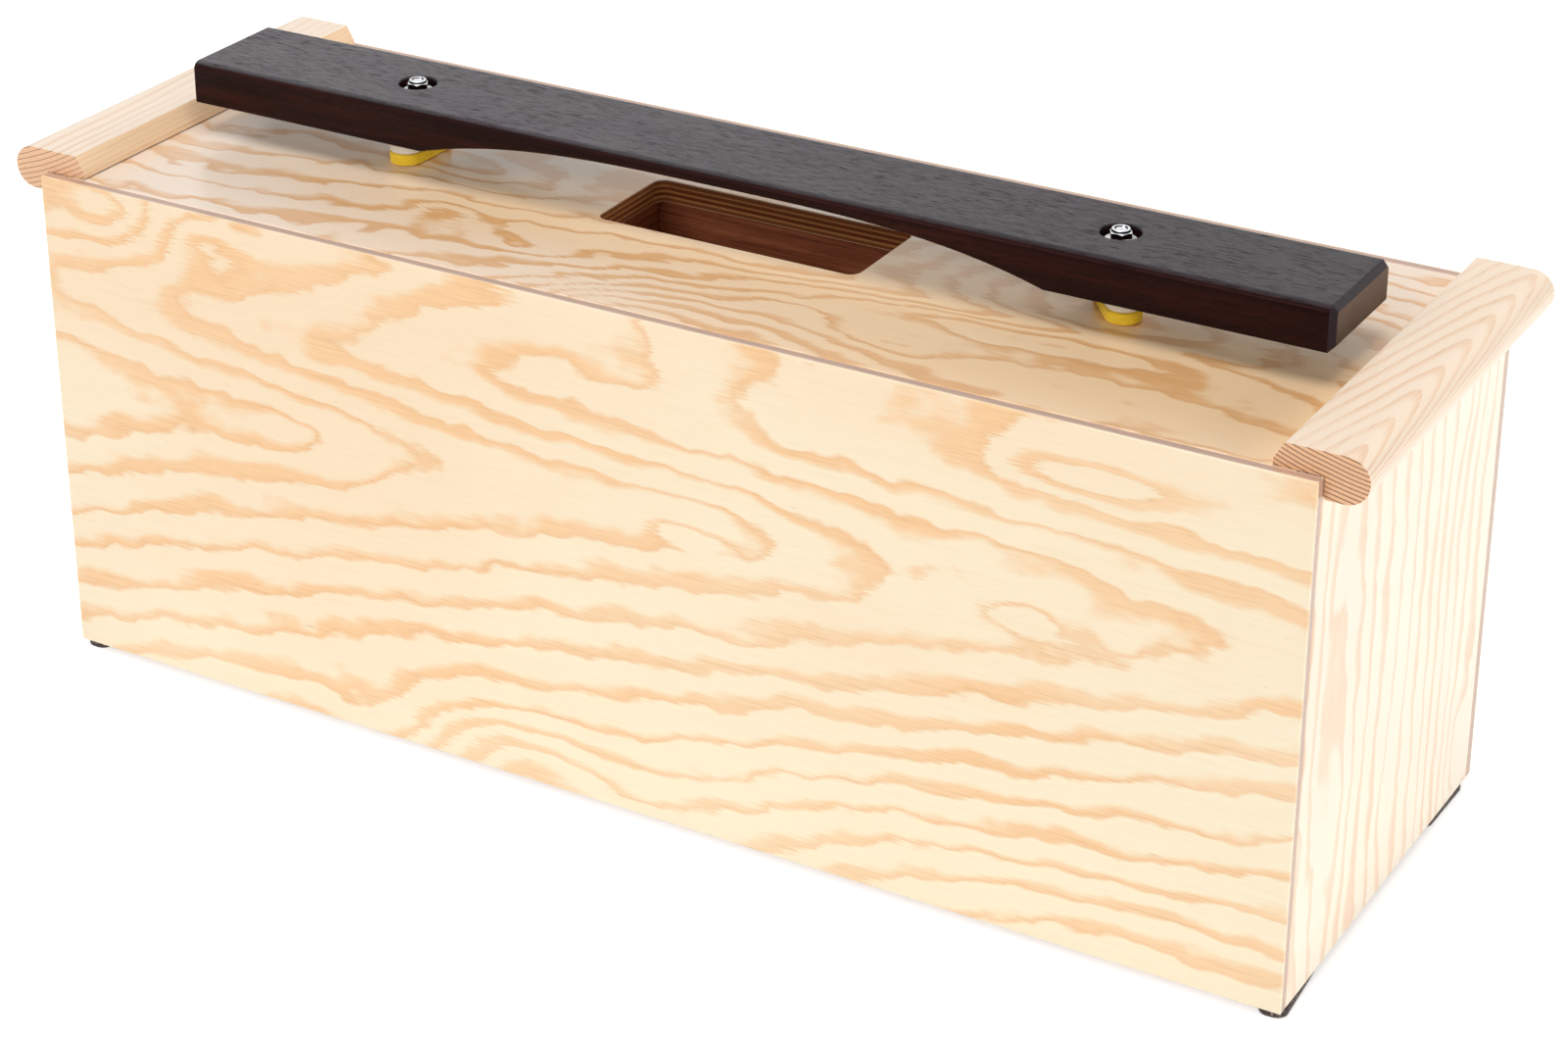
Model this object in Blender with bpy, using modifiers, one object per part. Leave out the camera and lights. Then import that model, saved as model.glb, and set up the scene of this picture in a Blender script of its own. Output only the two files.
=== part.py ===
"""Single deep resonator bar: one dark wooden sound bar held on two padded posts above a closed
wooden case with a sound slot, a duct below the slot and a handle rail at each end.

Metres, +Z up, +X along the bar, -Y is the front. The origin is on the floor, midway under the case.
"""
import math

import bmesh
import bpy
from mathutils import Vector

# Fit between pieces that are glued, seated or threaded together.
GAP = 0.0003

# Case, made of plywood boards.
CASE_LENGTH = 0.700
CASE_DEPTH = 0.246
CASE_HEIGHT = 0.270
FACE_PLY = 0.006
END_PLY = 0.012
TOP_PLY = 0.012
BOTTOM_PLY = 0.006
BOARD_EASE = 0.0004
BATTEN_WIDTH = 0.015
BATTEN_HEIGHT = 0.015

# Sound slot in the top plate and the duct glued below it.
SLOT_LENGTH = 0.148
SLOT_DEPTH = 0.061
SLOT_CORNER = 0.006
SLOT_BEHIND_MIDDLE = 0.003
DUCT_SETBACK = 0.0015
DUCT_PLY = 0.006
DUCT_DROP = 0.060

# Handle rails over the two ends of the case.
RAIL_THICK = 0.0225
RAIL_RISE = 0.012
RAIL_INSIDE = 0.0235
RAIL_OUTSIDE = 0.021
RAIL_INNER_RUN = 0.0049
RAIL_INNER_DROP = 0.0085
RAIL_ARRIS_ROUND = 0.0015
RAIL_SHOULDER_ROUND = 0.004
RAIL_LIP_ROUND = 0.002
RAIL_END_EASE = 0.0006
RAIL_SCREW_COUNT = 3
RAIL_SCREW_FROM_END = 0.027
SCREW_LENGTH = 0.020
SCREW_SHANK_RADIUS = 0.00175
SCREW_HEAD_RADIUS = 0.0034
SCREW_HEAD_RIM = 0.0004
SCREW_TIP_LENGTH = 0.004

# Felt feet, glued on by hand and a few degrees out of square.
FOOT_LENGTH = 0.048
FOOT_WIDTH = 0.014
FOOT_THICK = 0.004
FOOT_CORNER = 0.0055
FOOT_FROM_END = 0.0075
FOOT_FROM_FRONT = 0.026
FOOT_FROM_BACK = 0.032
FOOT_TURN = {"front_left": -1.0, "front_right": 4.0, "back_left": 1.5, "back_right": -1.0}

# Sound bar, thinned by an arch on its underside.
BAR_LENGTH = 0.638
BAR_WIDTH = 0.067
BAR_THICK = 0.0224
BAR_EDGE_ROUND = 0.0020
ARCH_SPAN = 0.351
ARCH_RISE = 0.0159
ARCH_POWER = 3.3
BAR_BORE_RADIUS = 0.010
BAR_BORE_EASE = 0.0006

# Posts: a bolt through the top plate, a sleeve over it and a lock nut on top.
POST_SPACING = 0.398
BOLT_RADIUS = 0.003
BOLT_HEAD_FLATS = 0.010
BOLT_HEAD_HEIGHT = 0.004
BOLT_END_CHAMFER = 0.0006
BOLT_END_BELOW_NUT = 0.0005
WASHER_RADIUS = 0.006
WASHER_THICK = 0.0016
SLEEVE_RADIUS = 0.005
SLEEVE_FLANGE_RADIUS = 0.008
SLEEVE_FLANGE_THICK = 0.0014
NUT_SEAT_BELOW_BAR_TOP = 0.0035
NUT_FLATS = 0.010
NUT_HEIGHT = 0.0051
NUT_HEX_HEIGHT = 0.0037
NUT_CORNER_CHAMFER = 0.0006
NUT_COLLAR_RADIUS = 0.0046
NUT_COLLAR_ROUND = 0.0006
NUT_COLLAR_WALL = 0.0006
INSERT_HEIGHT = 0.0012

# Pads that carry the bar: one outline, two layers, free to turn about the post.
PAD_LENGTH = 0.041
PAD_WIDTH = 0.0178
LOWER_PAD_THICK = 0.006
UPPER_PAD_THICK = 0.0101
PAD_TURN = {"left": -2.0, "right": 38.0}

# Sides of the round and curved pieces.
ARC_STEPS = 8
ARCH_STEPS = 36
ROUND_SIDES = 32
SCREW_SIDES = 16
COLLAR_ARC_STEPS = 3
BAR_EDGE_SEGMENTS = 3
SHARP_ANGLE = math.radians(35)
MERGE_DISTANCE = 0.00001
EMPTY_SIZE = 0.02

# Levels and planes worked out from the sizes above.
CASE_BASE = FOOT_THICK + GAP
CASE_TOP = CASE_BASE + CASE_HEIGHT
CASE_END = CASE_LENGTH / 2
CASE_FRONT = -CASE_DEPTH / 2
INNER_DEPTH = CASE_DEPTH - 2 * FACE_PLY
INNER_LENGTH = CASE_LENGTH - 2 * END_PLY
TOP_UNDERSIDE = CASE_TOP - TOP_PLY
LOWER_PAD_BASE = CASE_TOP + GAP
UPPER_PAD_BASE = LOWER_PAD_BASE + LOWER_PAD_THICK + GAP
BAR_BASE = UPPER_PAD_BASE + UPPER_PAD_THICK + GAP
BAR_TOP = BAR_BASE + BAR_THICK
SLEEVE_BASE = CASE_TOP + GAP
SLEEVE_TOP = BAR_TOP - NUT_SEAT_BELOW_BAR_TOP
NUT_BASE = SLEEVE_TOP + GAP
NUT_TOP = NUT_BASE + NUT_HEIGHT
WASHER_TOP = TOP_UNDERSIDE - GAP
BOLT_HEAD_TOP = WASHER_TOP - WASHER_THICK - GAP
BOLT_END = NUT_TOP - BOLT_END_BELOW_NUT
BORE_OVER_BOLT = BOLT_RADIUS + GAP
POST_X = {"left": -POST_SPACING / 2, "right": POST_SPACING / 2}

# Cutters reach this far past the faces they cut.
OVERRUN = 0.002

# Finish: colour, roughness, metallic.
FINISHES = {
    "pine_veneer": ((0.86, 0.68, 0.45), 0.35, 0.0),
    "pine_solid": ((0.85, 0.66, 0.47), 0.42, 0.0),
    "raw_plywood": ((0.52, 0.33, 0.18), 0.60, 0.0),
    "dark_rosewood": ((0.028, 0.020, 0.020), 0.30, 0.0),
    "zinc_steel": ((0.78, 0.78, 0.80), 0.22, 1.0),
    "white_nylon": ((0.85, 0.85, 0.82), 0.40, 0.0),
    "yellow_felt": ((0.83, 0.56, 0.05), 0.85, 0.0),
    "white_felt": ((0.80, 0.78, 0.70), 0.90, 0.0),
    "grey_felt": ((0.13, 0.11, 0.10), 0.95, 0.0),
}


def clear_scene():
    for item in list(bpy.data.objects):
        bpy.data.objects.remove(item, do_unlink=True)


def new_collection(name):
    found = bpy.data.collections.new(name)
    bpy.context.scene.collection.children.link(found)
    return found


def finish(piece, kind):
    """Give the piece its own Principled material of the named kind."""
    colour, roughness, metallic = FINISHES[kind]
    material = bpy.data.materials.new(piece.name + "_" + kind)
    material.use_nodes = True
    shader = material.node_tree.nodes["Principled BSDF"]
    shader.inputs["Base Color"].default_value = (*colour, 1.0)
    shader.inputs["Roughness"].default_value = roughness
    shader.inputs["Metallic"].default_value = metallic
    material.diffuse_color = (*colour, 1.0)
    piece.data.materials.clear()
    piece.data.materials.append(material)
    return piece


def keep(piece, collection):
    """Move the piece into one collection."""
    for owner in list(piece.users_collection):
        owner.objects.unlink(piece)
    collection.objects.link(piece)
    return piece


def as_cutter(piece):
    keep(piece, cutters)
    piece.hide_render = True
    piece.display_type = "WIRE"
    return piece


def round_over(piece, width, segments):
    """Round or ease the piece's sharp edges with a live bevel."""
    bevel = piece.modifiers.new("edges", "BEVEL")
    bevel.width = width
    bevel.segments = segments
    bevel.limit_method = "ANGLE"
    bevel.angle_limit = SHARP_ANGLE
    return piece


def combine(piece, other, operation):
    """Cut, join or intersect the piece with another object by a live Boolean."""
    boolean = piece.modifiers.new(other.name, "BOOLEAN")
    boolean.operation = operation
    boolean.solver = "EXACT"
    boolean.object = other
    return piece


def ride_on(piece, empty):
    """Parent the piece to an empty and leave it where it is."""
    bpy.context.view_layer.update()
    piece.parent = empty
    piece.matrix_parent_inverse = empty.matrix_world.inverted()
    return piece


def new_empty(name, place, turn_deg=0.0):
    empty = bpy.data.objects.new(name, None)
    empty.empty_display_size = EMPTY_SIZE
    empty.location = place
    empty.rotation_euler.z = math.radians(turn_deg)
    parts.objects.link(empty)
    return empty


def board(name, low, high, kind, ease=BOARD_EASE):
    """A square-cut board between two opposite corners, its arrises eased."""
    low = Vector(low)
    high = Vector(high)
    bpy.ops.mesh.primitive_cube_add(size=1.0, location=(low + high) / 2)
    piece = bpy.context.object
    piece.name = name
    piece.data.name = name
    size = high - low
    for vertex in piece.data.vertices:
        vertex.co = Vector(a * b for a, b in zip(vertex.co, size))
    keep(piece, parts)
    round_over(piece, ease, 1)
    return finish(piece, kind)


def arc(centre, radius, start_deg, end_deg, steps=ARC_STEPS):
    """Points of an arc, its two ends included, angles counted from +X towards +Y."""
    angles = (math.radians(start_deg + (end_deg - start_deg) * i / steps) for i in range(steps + 1))
    return [(centre[0] + radius * math.cos(a), centre[1] + radius * math.sin(a)) for a in angles]


def rounded_rectangle(length_x, length_y, radius):
    half_x = length_x / 2 - radius
    half_y = length_y / 2 - radius
    points = []
    for sign_x, sign_y, start in ((1, 1, 0), (-1, 1, 90), (-1, -1, 180), (1, -1, 270)):
        points += arc((sign_x * half_x, sign_y * half_y), radius, start, start + 90)
    return points


def flat_solid(name, loops, thickness, place, turn=(0.0, 0.0, 0.0)):
    """Extrude flat outlines, the first one outside and any others holes, centred on their plane."""
    curve = bpy.data.curves.new(name, "CURVE")
    curve.dimensions = "2D"
    curve.fill_mode = "BOTH"
    curve.extrude = thickness / 2
    for loop in loops:
        spline = curve.splines.new("POLY")
        spline.points.add(len(loop) - 1)
        for point, (x, y) in zip(spline.points, loop):
            point.co = (x, y, 0.0, 1.0)
        spline.use_cyclic_u = True
    outline = bpy.data.objects.new(name + "_outline", curve)
    outline.location = place
    outline.rotation_euler = turn
    parts.objects.link(outline)
    bpy.context.view_layer.update()
    evaluated = outline.evaluated_get(bpy.context.evaluated_depsgraph_get())
    mesh = bpy.data.meshes.new_from_object(evaluated)
    welded = bmesh.new()
    welded.from_mesh(mesh)
    bmesh.ops.remove_doubles(welded, verts=welded.verts, dist=MERGE_DISTANCE)
    bmesh.ops.recalc_face_normals(welded, faces=welded.faces)
    welded.to_mesh(mesh)
    welded.free()
    mesh.name = name
    piece = bpy.data.objects.new(name, mesh)
    piece.matrix_world = outline.matrix_world
    bpy.data.objects.remove(outline, do_unlink=True)
    parts.objects.link(piece)
    return piece


def turned(name, profile, place, sides, closed=False):
    """Turn a profile of (radius, height) points, given down the outer side, about the Z axis."""
    mesh = bpy.data.meshes.new(name)
    last = len(profile)
    edges = [(i, i + 1) for i in range(last - 1)]
    if closed:
        edges.append((last - 1, 0))
    mesh.from_pydata([(radius, 0.0, height) for radius, height in profile], edges, [])
    piece = bpy.data.objects.new(name, mesh)
    piece.location = place
    parts.objects.link(piece)
    screw = piece.modifiers.new("turning", "SCREW")
    screw.axis = "Z"
    screw.angle = 2 * math.pi
    screw.steps = sides
    screw.render_steps = sides
    screw.use_merge_vertices = True
    screw.merge_threshold = MERGE_DISTANCE
    screw.use_smooth_shade = False
    return piece


def hexagon(name, flats, height, place):
    """A hexagonal prism standing on its place, two of its flats facing along Y."""
    radius = flats / 2 / math.cos(math.radians(30))
    middle = Vector(place) + Vector((0.0, 0.0, height / 2))
    bpy.ops.mesh.primitive_cylinder_add(vertices=6, radius=radius, depth=height, location=middle)
    piece = bpy.context.object
    piece.name = name
    piece.data.name = name
    return keep(piece, parts)


def ring_profile(outer, inner, height):
    return [(outer, height), (outer, 0.0), (inner, 0.0), (inner, height)]


def shade_round(piece):
    piece.data.shade_smooth()
    piece.data.set_sharp_from_angle(angle=SHARP_ANGLE)
    return piece


def make_case():
    """Front, back, end, top and bottom boards with the battens in the long inner corners."""
    inner_y = INNER_DEPTH / 2 - GAP
    inner_x = INNER_LENGTH / 2 - GAP
    for name, side in (("front_panel", 1), ("back_panel", -1)):
        low_y, high_y = sorted((side * CASE_FRONT, side * (CASE_FRONT + FACE_PLY)))
        board(name, (-CASE_END, low_y, CASE_BASE), (CASE_END, high_y, CASE_TOP), "pine_veneer")
    for name, side in (("left_end_panel", -1), ("right_end_panel", 1)):
        outer = side * CASE_END
        inside = side * (CASE_END - END_PLY)
        low_x, high_x = sorted((outer, inside))
        board(name, (low_x, -inner_y, CASE_BASE), (high_x, inner_y, CASE_TOP), "pine_veneer")
    bottom_high = (inner_x, inner_y, CASE_BASE + BOTTOM_PLY)
    board("bottom_panel", (-inner_x, -inner_y, CASE_BASE), bottom_high, "raw_plywood")
    batten_inside = inner_y - BATTEN_WIDTH
    levels = {"bottom": CASE_BASE + BOTTOM_PLY + GAP, "top": TOP_UNDERSIDE - GAP - BATTEN_HEIGHT}
    for level, base in levels.items():
        for face, side in (("front", -1), ("back", 1)):
            low_y, high_y = sorted((side * inner_y, side * batten_inside))
            low = (-inner_x, low_y, base)
            high = (inner_x, high_y, base + BATTEN_HEIGHT)
            board(level + "_" + face + "_batten", low, high, "pine_solid")


def make_top_plate():
    """Top board with the sound slot, the two bolt holes and the countersunk screw holes."""
    inner_y = INNER_DEPTH / 2 - GAP
    inner_x = INNER_LENGTH / 2 - GAP
    low = (-inner_x, -inner_y, TOP_UNDERSIDE)
    high = (inner_x, inner_y, CASE_TOP)
    plate = board("top_plate", low, high, "pine_veneer")
    middle = CASE_TOP - TOP_PLY / 2
    through = TOP_PLY + 2 * OVERRUN
    slot_outline = rounded_rectangle(SLOT_LENGTH, SLOT_DEPTH, SLOT_CORNER)
    slot = flat_solid("slot_cutter", [slot_outline], through, (0.0, SLOT_BEHIND_MIDDLE, middle))
    combine(plate, as_cutter(slot), "DIFFERENCE")
    for side, x in POST_X.items():
        circle = arc((0.0, 0.0), BORE_OVER_BOLT, 0, 360, ROUND_SIDES)[:-1]
        hole = flat_solid(side + "_bolt_hole_cutter", [circle], through, (x, 0.0, middle))
        combine(plate, as_cutter(hole), "DIFFERENCE")
    return plate


def make_duct():
    """Four boards glued in a frame below the slot, a little outside its edge."""
    top = TOP_UNDERSIDE - GAP
    base = top - DUCT_DROP
    inner_x = SLOT_LENGTH / 2 + DUCT_SETBACK
    inner_y = SLOT_DEPTH / 2 + DUCT_SETBACK
    outer_x = inner_x + DUCT_PLY
    for face, side in (("front", -1), ("back", 1)):
        low_y, high_y = sorted((side * inner_y, side * (inner_y + DUCT_PLY)))
        low = (-outer_x, SLOT_BEHIND_MIDDLE + low_y, base)
        high = (outer_x, SLOT_BEHIND_MIDDLE + high_y, top)
        board("duct_" + face + "_board", low, high, "raw_plywood")
    for end, side in (("left", -1), ("right", 1)):
        low_x, high_x = sorted((side * inner_x, side * outer_x))
        low = (low_x, SLOT_BEHIND_MIDDLE - inner_y + GAP, base)
        high = (high_x, SLOT_BEHIND_MIDDLE + inner_y - GAP, top)
        board("duct_" + end + "_board", low, high, "raw_plywood")


def screw_profile(clearance):
    """Countersunk wood screw, head down at height 0 and tip up, or its hole with a clearance."""
    shank = SCREW_SHANK_RADIUS + clearance
    head = SCREW_HEAD_RADIUS + clearance
    cone_top = SCREW_HEAD_RIM + SCREW_HEAD_RADIUS - SCREW_SHANK_RADIUS
    return [
        (0.0, SCREW_LENGTH + clearance),
        (shank, SCREW_LENGTH - SCREW_TIP_LENGTH + clearance),
        (shank, cone_top + clearance),
        (head, SCREW_HEAD_RIM + clearance),
        (head, -OVERRUN if clearance else 0.0),
        (0.0, -OVERRUN if clearance else 0.0),
    ]


def rail_outline():
    """Section of a rail seen from its end: X outwards from the case's end, Y up from its top.

    The inner side leans: it drops from an eased arris under the top to a shoulder, then is upright.
    """
    nose = RAIL_THICK / 2
    nose_centre = (RAIL_OUTSIDE - nose, RAIL_RISE - nose)
    lip_base = RAIL_RISE - RAIL_THICK
    lip_round = min(RAIL_LIP_ROUND, RAIL_OUTSIDE - nose - GAP, -lip_base)
    drop = min(RAIL_INNER_DROP, RAIL_RISE - 2 * GAP - RAIL_SHOULDER_ROUND / 2)
    lean_deg = 90 + math.degrees(math.atan2(drop, RAIL_INNER_RUN))
    arris = RAIL_ARRIS_ROUND * math.tan(math.radians(lean_deg - 90) / 2)
    shoulder = RAIL_SHOULDER_ROUND * math.tan(math.radians(180 - lean_deg) / 2)
    arris_centre = (-RAIL_INSIDE + RAIL_INNER_RUN + arris, RAIL_RISE - RAIL_ARRIS_ROUND)
    shoulder_centre = (-RAIL_INSIDE + RAIL_SHOULDER_ROUND, RAIL_RISE - drop - shoulder)
    points = [(-RAIL_INSIDE, GAP), (GAP, GAP)]
    points += arc((GAP + lip_round, lip_base + lip_round), lip_round, 180, 270, ARC_STEPS // 2)
    points += arc(nose_centre, nose, -90, 90, 3 * ARC_STEPS)
    points += arc(arris_centre, RAIL_ARRIS_ROUND, 90, lean_deg, ARC_STEPS // 2)
    points += arc(shoulder_centre, RAIL_SHOULDER_ROUND, lean_deg, 180, ARC_STEPS // 2)
    return points


def make_rails(plate):
    """Rebated handle rails, each held by screws driven up through the top plate."""
    length = INNER_DEPTH - 2 * GAP
    screw_x = CASE_END - (END_PLY + RAIL_INSIDE) / 2
    screw_pitch = (length - 2 * RAIL_SCREW_FROM_END) / (RAIL_SCREW_COUNT - 1)
    for side, sign in (("left", -1), ("right", 1)):
        outline = [(sign * x, y) for x, y in rail_outline()]
        place = (sign * CASE_END, 0.0, CASE_TOP)
        rail = flat_solid(side + "_handle_rail", [outline], length, place, (math.pi / 2, 0.0, 0.0))
        round_over(rail, RAIL_END_EASE, 1)
        for number in range(RAIL_SCREW_COUNT):
            y = -length / 2 + RAIL_SCREW_FROM_END + number * screw_pitch
            name = side + "_rail_screw_" + str(number + 1)
            spot = (sign * screw_x, y, TOP_UNDERSIDE)
            screw = turned(name, screw_profile(0.0), spot, SCREW_SIDES)
            finish(shade_round(screw), "zinc_steel")
            hole = as_cutter(turned(name + "_cutter", screw_profile(GAP), spot, SCREW_SIDES))
            combine(rail, hole, "DIFFERENCE")
            combine(plate, hole, "DIFFERENCE")
        finish(shade_round(rail), "pine_solid")


def make_feet():
    outline = rounded_rectangle(FOOT_WIDTH, FOOT_LENGTH, FOOT_CORNER)
    foot_x = CASE_END - FOOT_FROM_END
    foot_y = {"front": CASE_FRONT + FOOT_FROM_FRONT, "back": -CASE_FRONT - FOOT_FROM_BACK}
    for corner, turn_deg in FOOT_TURN.items():
        face, end = corner.split("_")
        x = foot_x if end == "right" else -foot_x
        place = (x, foot_y[face], FOOT_THICK / 2)
        turn = (0.0, 0.0, math.radians(turn_deg))
        foot = flat_solid(corner + "_foot", [outline], FOOT_THICK, place, turn)
        finish(shade_round(foot), "grey_felt")


def arch_height(x):
    """Height of the bar's underside above its ends, at a distance x from the middle."""
    return ARCH_RISE * (1.0 - abs(2.0 * x / ARCH_SPAN) ** ARCH_POWER)


def make_bar():
    """Bar with its underside hollowed by the arch and a wide bore over each post."""
    steps = [ARCH_SPAN * (i / ARCH_STEPS - 0.5) for i in range(ARCH_STEPS + 1)]
    half = BAR_LENGTH / 2
    outline = [(-half, 0.0)]
    outline += [(x, arch_height(x)) for x in steps]
    outline += [(half, 0.0), (half, BAR_THICK), (-half, BAR_THICK)]
    bar = flat_solid("sound_bar", [outline], BAR_WIDTH, (0.0, 0.0, BAR_BASE), (math.pi / 2, 0.0, 0.0))
    round_over(bar, BAR_EDGE_ROUND, BAR_EDGE_SEGMENTS)
    wide = BAR_BORE_RADIUS + BAR_BORE_EASE + OVERRUN
    profile = [
        (0.0, BAR_THICK + OVERRUN),
        (wide, BAR_THICK + OVERRUN),
        (BAR_BORE_RADIUS, BAR_THICK - BAR_BORE_EASE),
        (BAR_BORE_RADIUS, BAR_BORE_EASE),
        (wide, -OVERRUN),
        (0.0, -OVERRUN),
    ]
    for side, x in POST_X.items():
        bore = turned(side + "_bore_cutter", profile, (x, 0.0, BAR_BASE), ROUND_SIDES)
        combine(bar, as_cutter(bore), "DIFFERENCE")
    finish(shade_round(bar), "dark_rosewood")


def make_bolt(name, x):
    """Hexagon bolt driven up from inside the case, drawn without its thread."""
    head_base = BOLT_HEAD_TOP - BOLT_HEAD_HEIGHT
    head = hexagon(name, BOLT_HEAD_FLATS, BOLT_HEAD_HEIGHT, (x, 0.0, head_base))
    length = BOLT_END - head_base
    profile = [
        (0.0, length),
        (BOLT_RADIUS - BOLT_END_CHAMFER, length),
        (BOLT_RADIUS, length - BOLT_END_CHAMFER),
        (BOLT_RADIUS, BOLT_HEAD_HEIGHT / 2),
        (0.0, BOLT_HEAD_HEIGHT / 2),
    ]
    shank = turned(name + "_shank", profile, (x, 0.0, head_base), ROUND_SIDES)
    combine(head, as_cutter(shank), "UNION")
    return finish(shade_round(head), "zinc_steel")


def make_sleeve(name, x):
    """White sleeve over the bolt, its flange under the nut."""
    height = SLEEVE_TOP - SLEEVE_BASE
    neck = SLEEVE_FLANGE_RADIUS - SLEEVE_RADIUS
    profile = [
        (SLEEVE_FLANGE_RADIUS, height),
        (SLEEVE_FLANGE_RADIUS, height - SLEEVE_FLANGE_THICK),
        (SLEEVE_RADIUS, height - SLEEVE_FLANGE_THICK - neck),
        (SLEEVE_RADIUS, 0.0),
        (BORE_OVER_BOLT, 0.0),
        (BORE_OVER_BOLT, height),
    ]
    sleeve = turned(name, profile, (x, 0.0, SLEEVE_BASE), ROUND_SIDES, closed=True)
    return finish(shade_round(sleeve), "white_nylon")


def make_lock_nut(name, x):
    """Hexagon nut with its corners turned off and a round collar that holds the insert."""
    base = (x, 0.0, NUT_BASE)
    corner = NUT_FLATS / 2 / math.cos(math.radians(30))
    nut = hexagon(name, NUT_FLATS, NUT_HEX_HEIGHT, base)
    blank_profile = [
        (0.0, NUT_HEX_HEIGHT + OVERRUN),
        (corner - NUT_CORNER_CHAMFER - OVERRUN, NUT_HEX_HEIGHT + OVERRUN),
        (corner + OVERRUN, NUT_HEX_HEIGHT - NUT_CORNER_CHAMFER - OVERRUN),
        (corner + OVERRUN, -OVERRUN),
        (0.0, -OVERRUN),
    ]
    blank = turned(name + "_blank", blank_profile, base, ROUND_SIDES)
    combine(nut, as_cutter(blank), "INTERSECT")
    shoulder = (NUT_COLLAR_RADIUS - NUT_COLLAR_ROUND, NUT_HEIGHT - NUT_COLLAR_ROUND)
    collar_profile = [(0.0, NUT_HEIGHT)]
    collar_profile += arc(shoulder, NUT_COLLAR_ROUND, 90, 0, COLLAR_ARC_STEPS)
    collar_profile += [(NUT_COLLAR_RADIUS, NUT_HEX_HEIGHT / 2), (0.0, NUT_HEX_HEIGHT / 2)]
    collar = turned(name + "_collar", collar_profile, base, ROUND_SIDES)
    combine(nut, as_cutter(collar), "UNION")
    pocket = NUT_COLLAR_RADIUS - NUT_COLLAR_WALL
    pocket_base = NUT_HEIGHT - INSERT_HEIGHT - GAP
    bore_profile = [
        (0.0, NUT_HEIGHT + OVERRUN),
        (pocket, NUT_HEIGHT + OVERRUN),
        (pocket, pocket_base),
        (BORE_OVER_BOLT, pocket_base),
        (BORE_OVER_BOLT, -OVERRUN),
        (0.0, -OVERRUN),
    ]
    bore = turned(name + "_bore", bore_profile, base, ROUND_SIDES)
    combine(nut, as_cutter(bore), "DIFFERENCE")
    return finish(shade_round(nut), "zinc_steel")


def make_insert(name, x):
    """Nylon ring pressed into the nut's collar."""
    outer = NUT_COLLAR_RADIUS - NUT_COLLAR_WALL - GAP
    profile = ring_profile(outer, BORE_OVER_BOLT, INSERT_HEIGHT)
    ring = turned(name, profile, (x, 0.0, NUT_TOP - INSERT_HEIGHT), ROUND_SIDES, closed=True)
    return finish(shade_round(ring), "white_nylon")


def make_pads(side, pivot):
    """Lower and upper pad layers, bored to pass over the sleeve, turned with the pivot."""
    outline = rounded_rectangle(PAD_WIDTH, PAD_LENGTH, PAD_WIDTH / 2)
    hole = arc((0.0, 0.0), SLEEVE_RADIUS + GAP, 0, 360, ROUND_SIDES)[:-1]
    layers = (
        ("lower", LOWER_PAD_BASE, LOWER_PAD_THICK, "yellow_felt"),
        ("upper", UPPER_PAD_BASE, UPPER_PAD_THICK, "white_felt"),
    )
    for layer, base, thick, kind in layers:
        place = (pivot.location.x, pivot.location.y, base + thick / 2)
        pad = flat_solid(side + "_" + layer + "_pad", [outline, hole], thick, place, pivot.rotation_euler)
        finish(shade_round(pad), kind)
        ride_on(pad, pivot)


def make_posts():
    """Bolt, washer, sleeve, nut and insert of each post, and the pads that turn about it."""
    for side, x in POST_X.items():
        post = new_empty(side + "_post", (x, 0.0, CASE_TOP))
        ride_on(make_bolt(side + "_post_bolt", x), post)
        washer_profile = ring_profile(WASHER_RADIUS, BORE_OVER_BOLT, WASHER_THICK)
        washer_place = (x, 0.0, WASHER_TOP - WASHER_THICK)
        washer = turned(side + "_post_washer", washer_profile, washer_place, ROUND_SIDES, closed=True)
        ride_on(finish(shade_round(washer), "zinc_steel"), post)
        ride_on(make_sleeve(side + "_post_sleeve", x), post)
        ride_on(make_lock_nut(side + "_lock_nut", x), post)
        ride_on(make_insert(side + "_nut_insert", x), post)
        pivot = new_empty(side + "_pad_pivot", (x, 0.0, CASE_TOP), PAD_TURN[side])
        make_pads(side, pivot)


clear_scene()
parts = new_collection("resonator_bar")
cutters = new_collection("cutters")
make_case()
top_plate = make_top_plate()
make_duct()
make_rails(top_plate)
make_feet()
make_bar()
make_posts()
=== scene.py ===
"""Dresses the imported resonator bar: pine case, dark sound bar, plated posts and felt pads.

Metres, +Z up, +X along the bar and -Y the front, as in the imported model.
"""
import math

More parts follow.
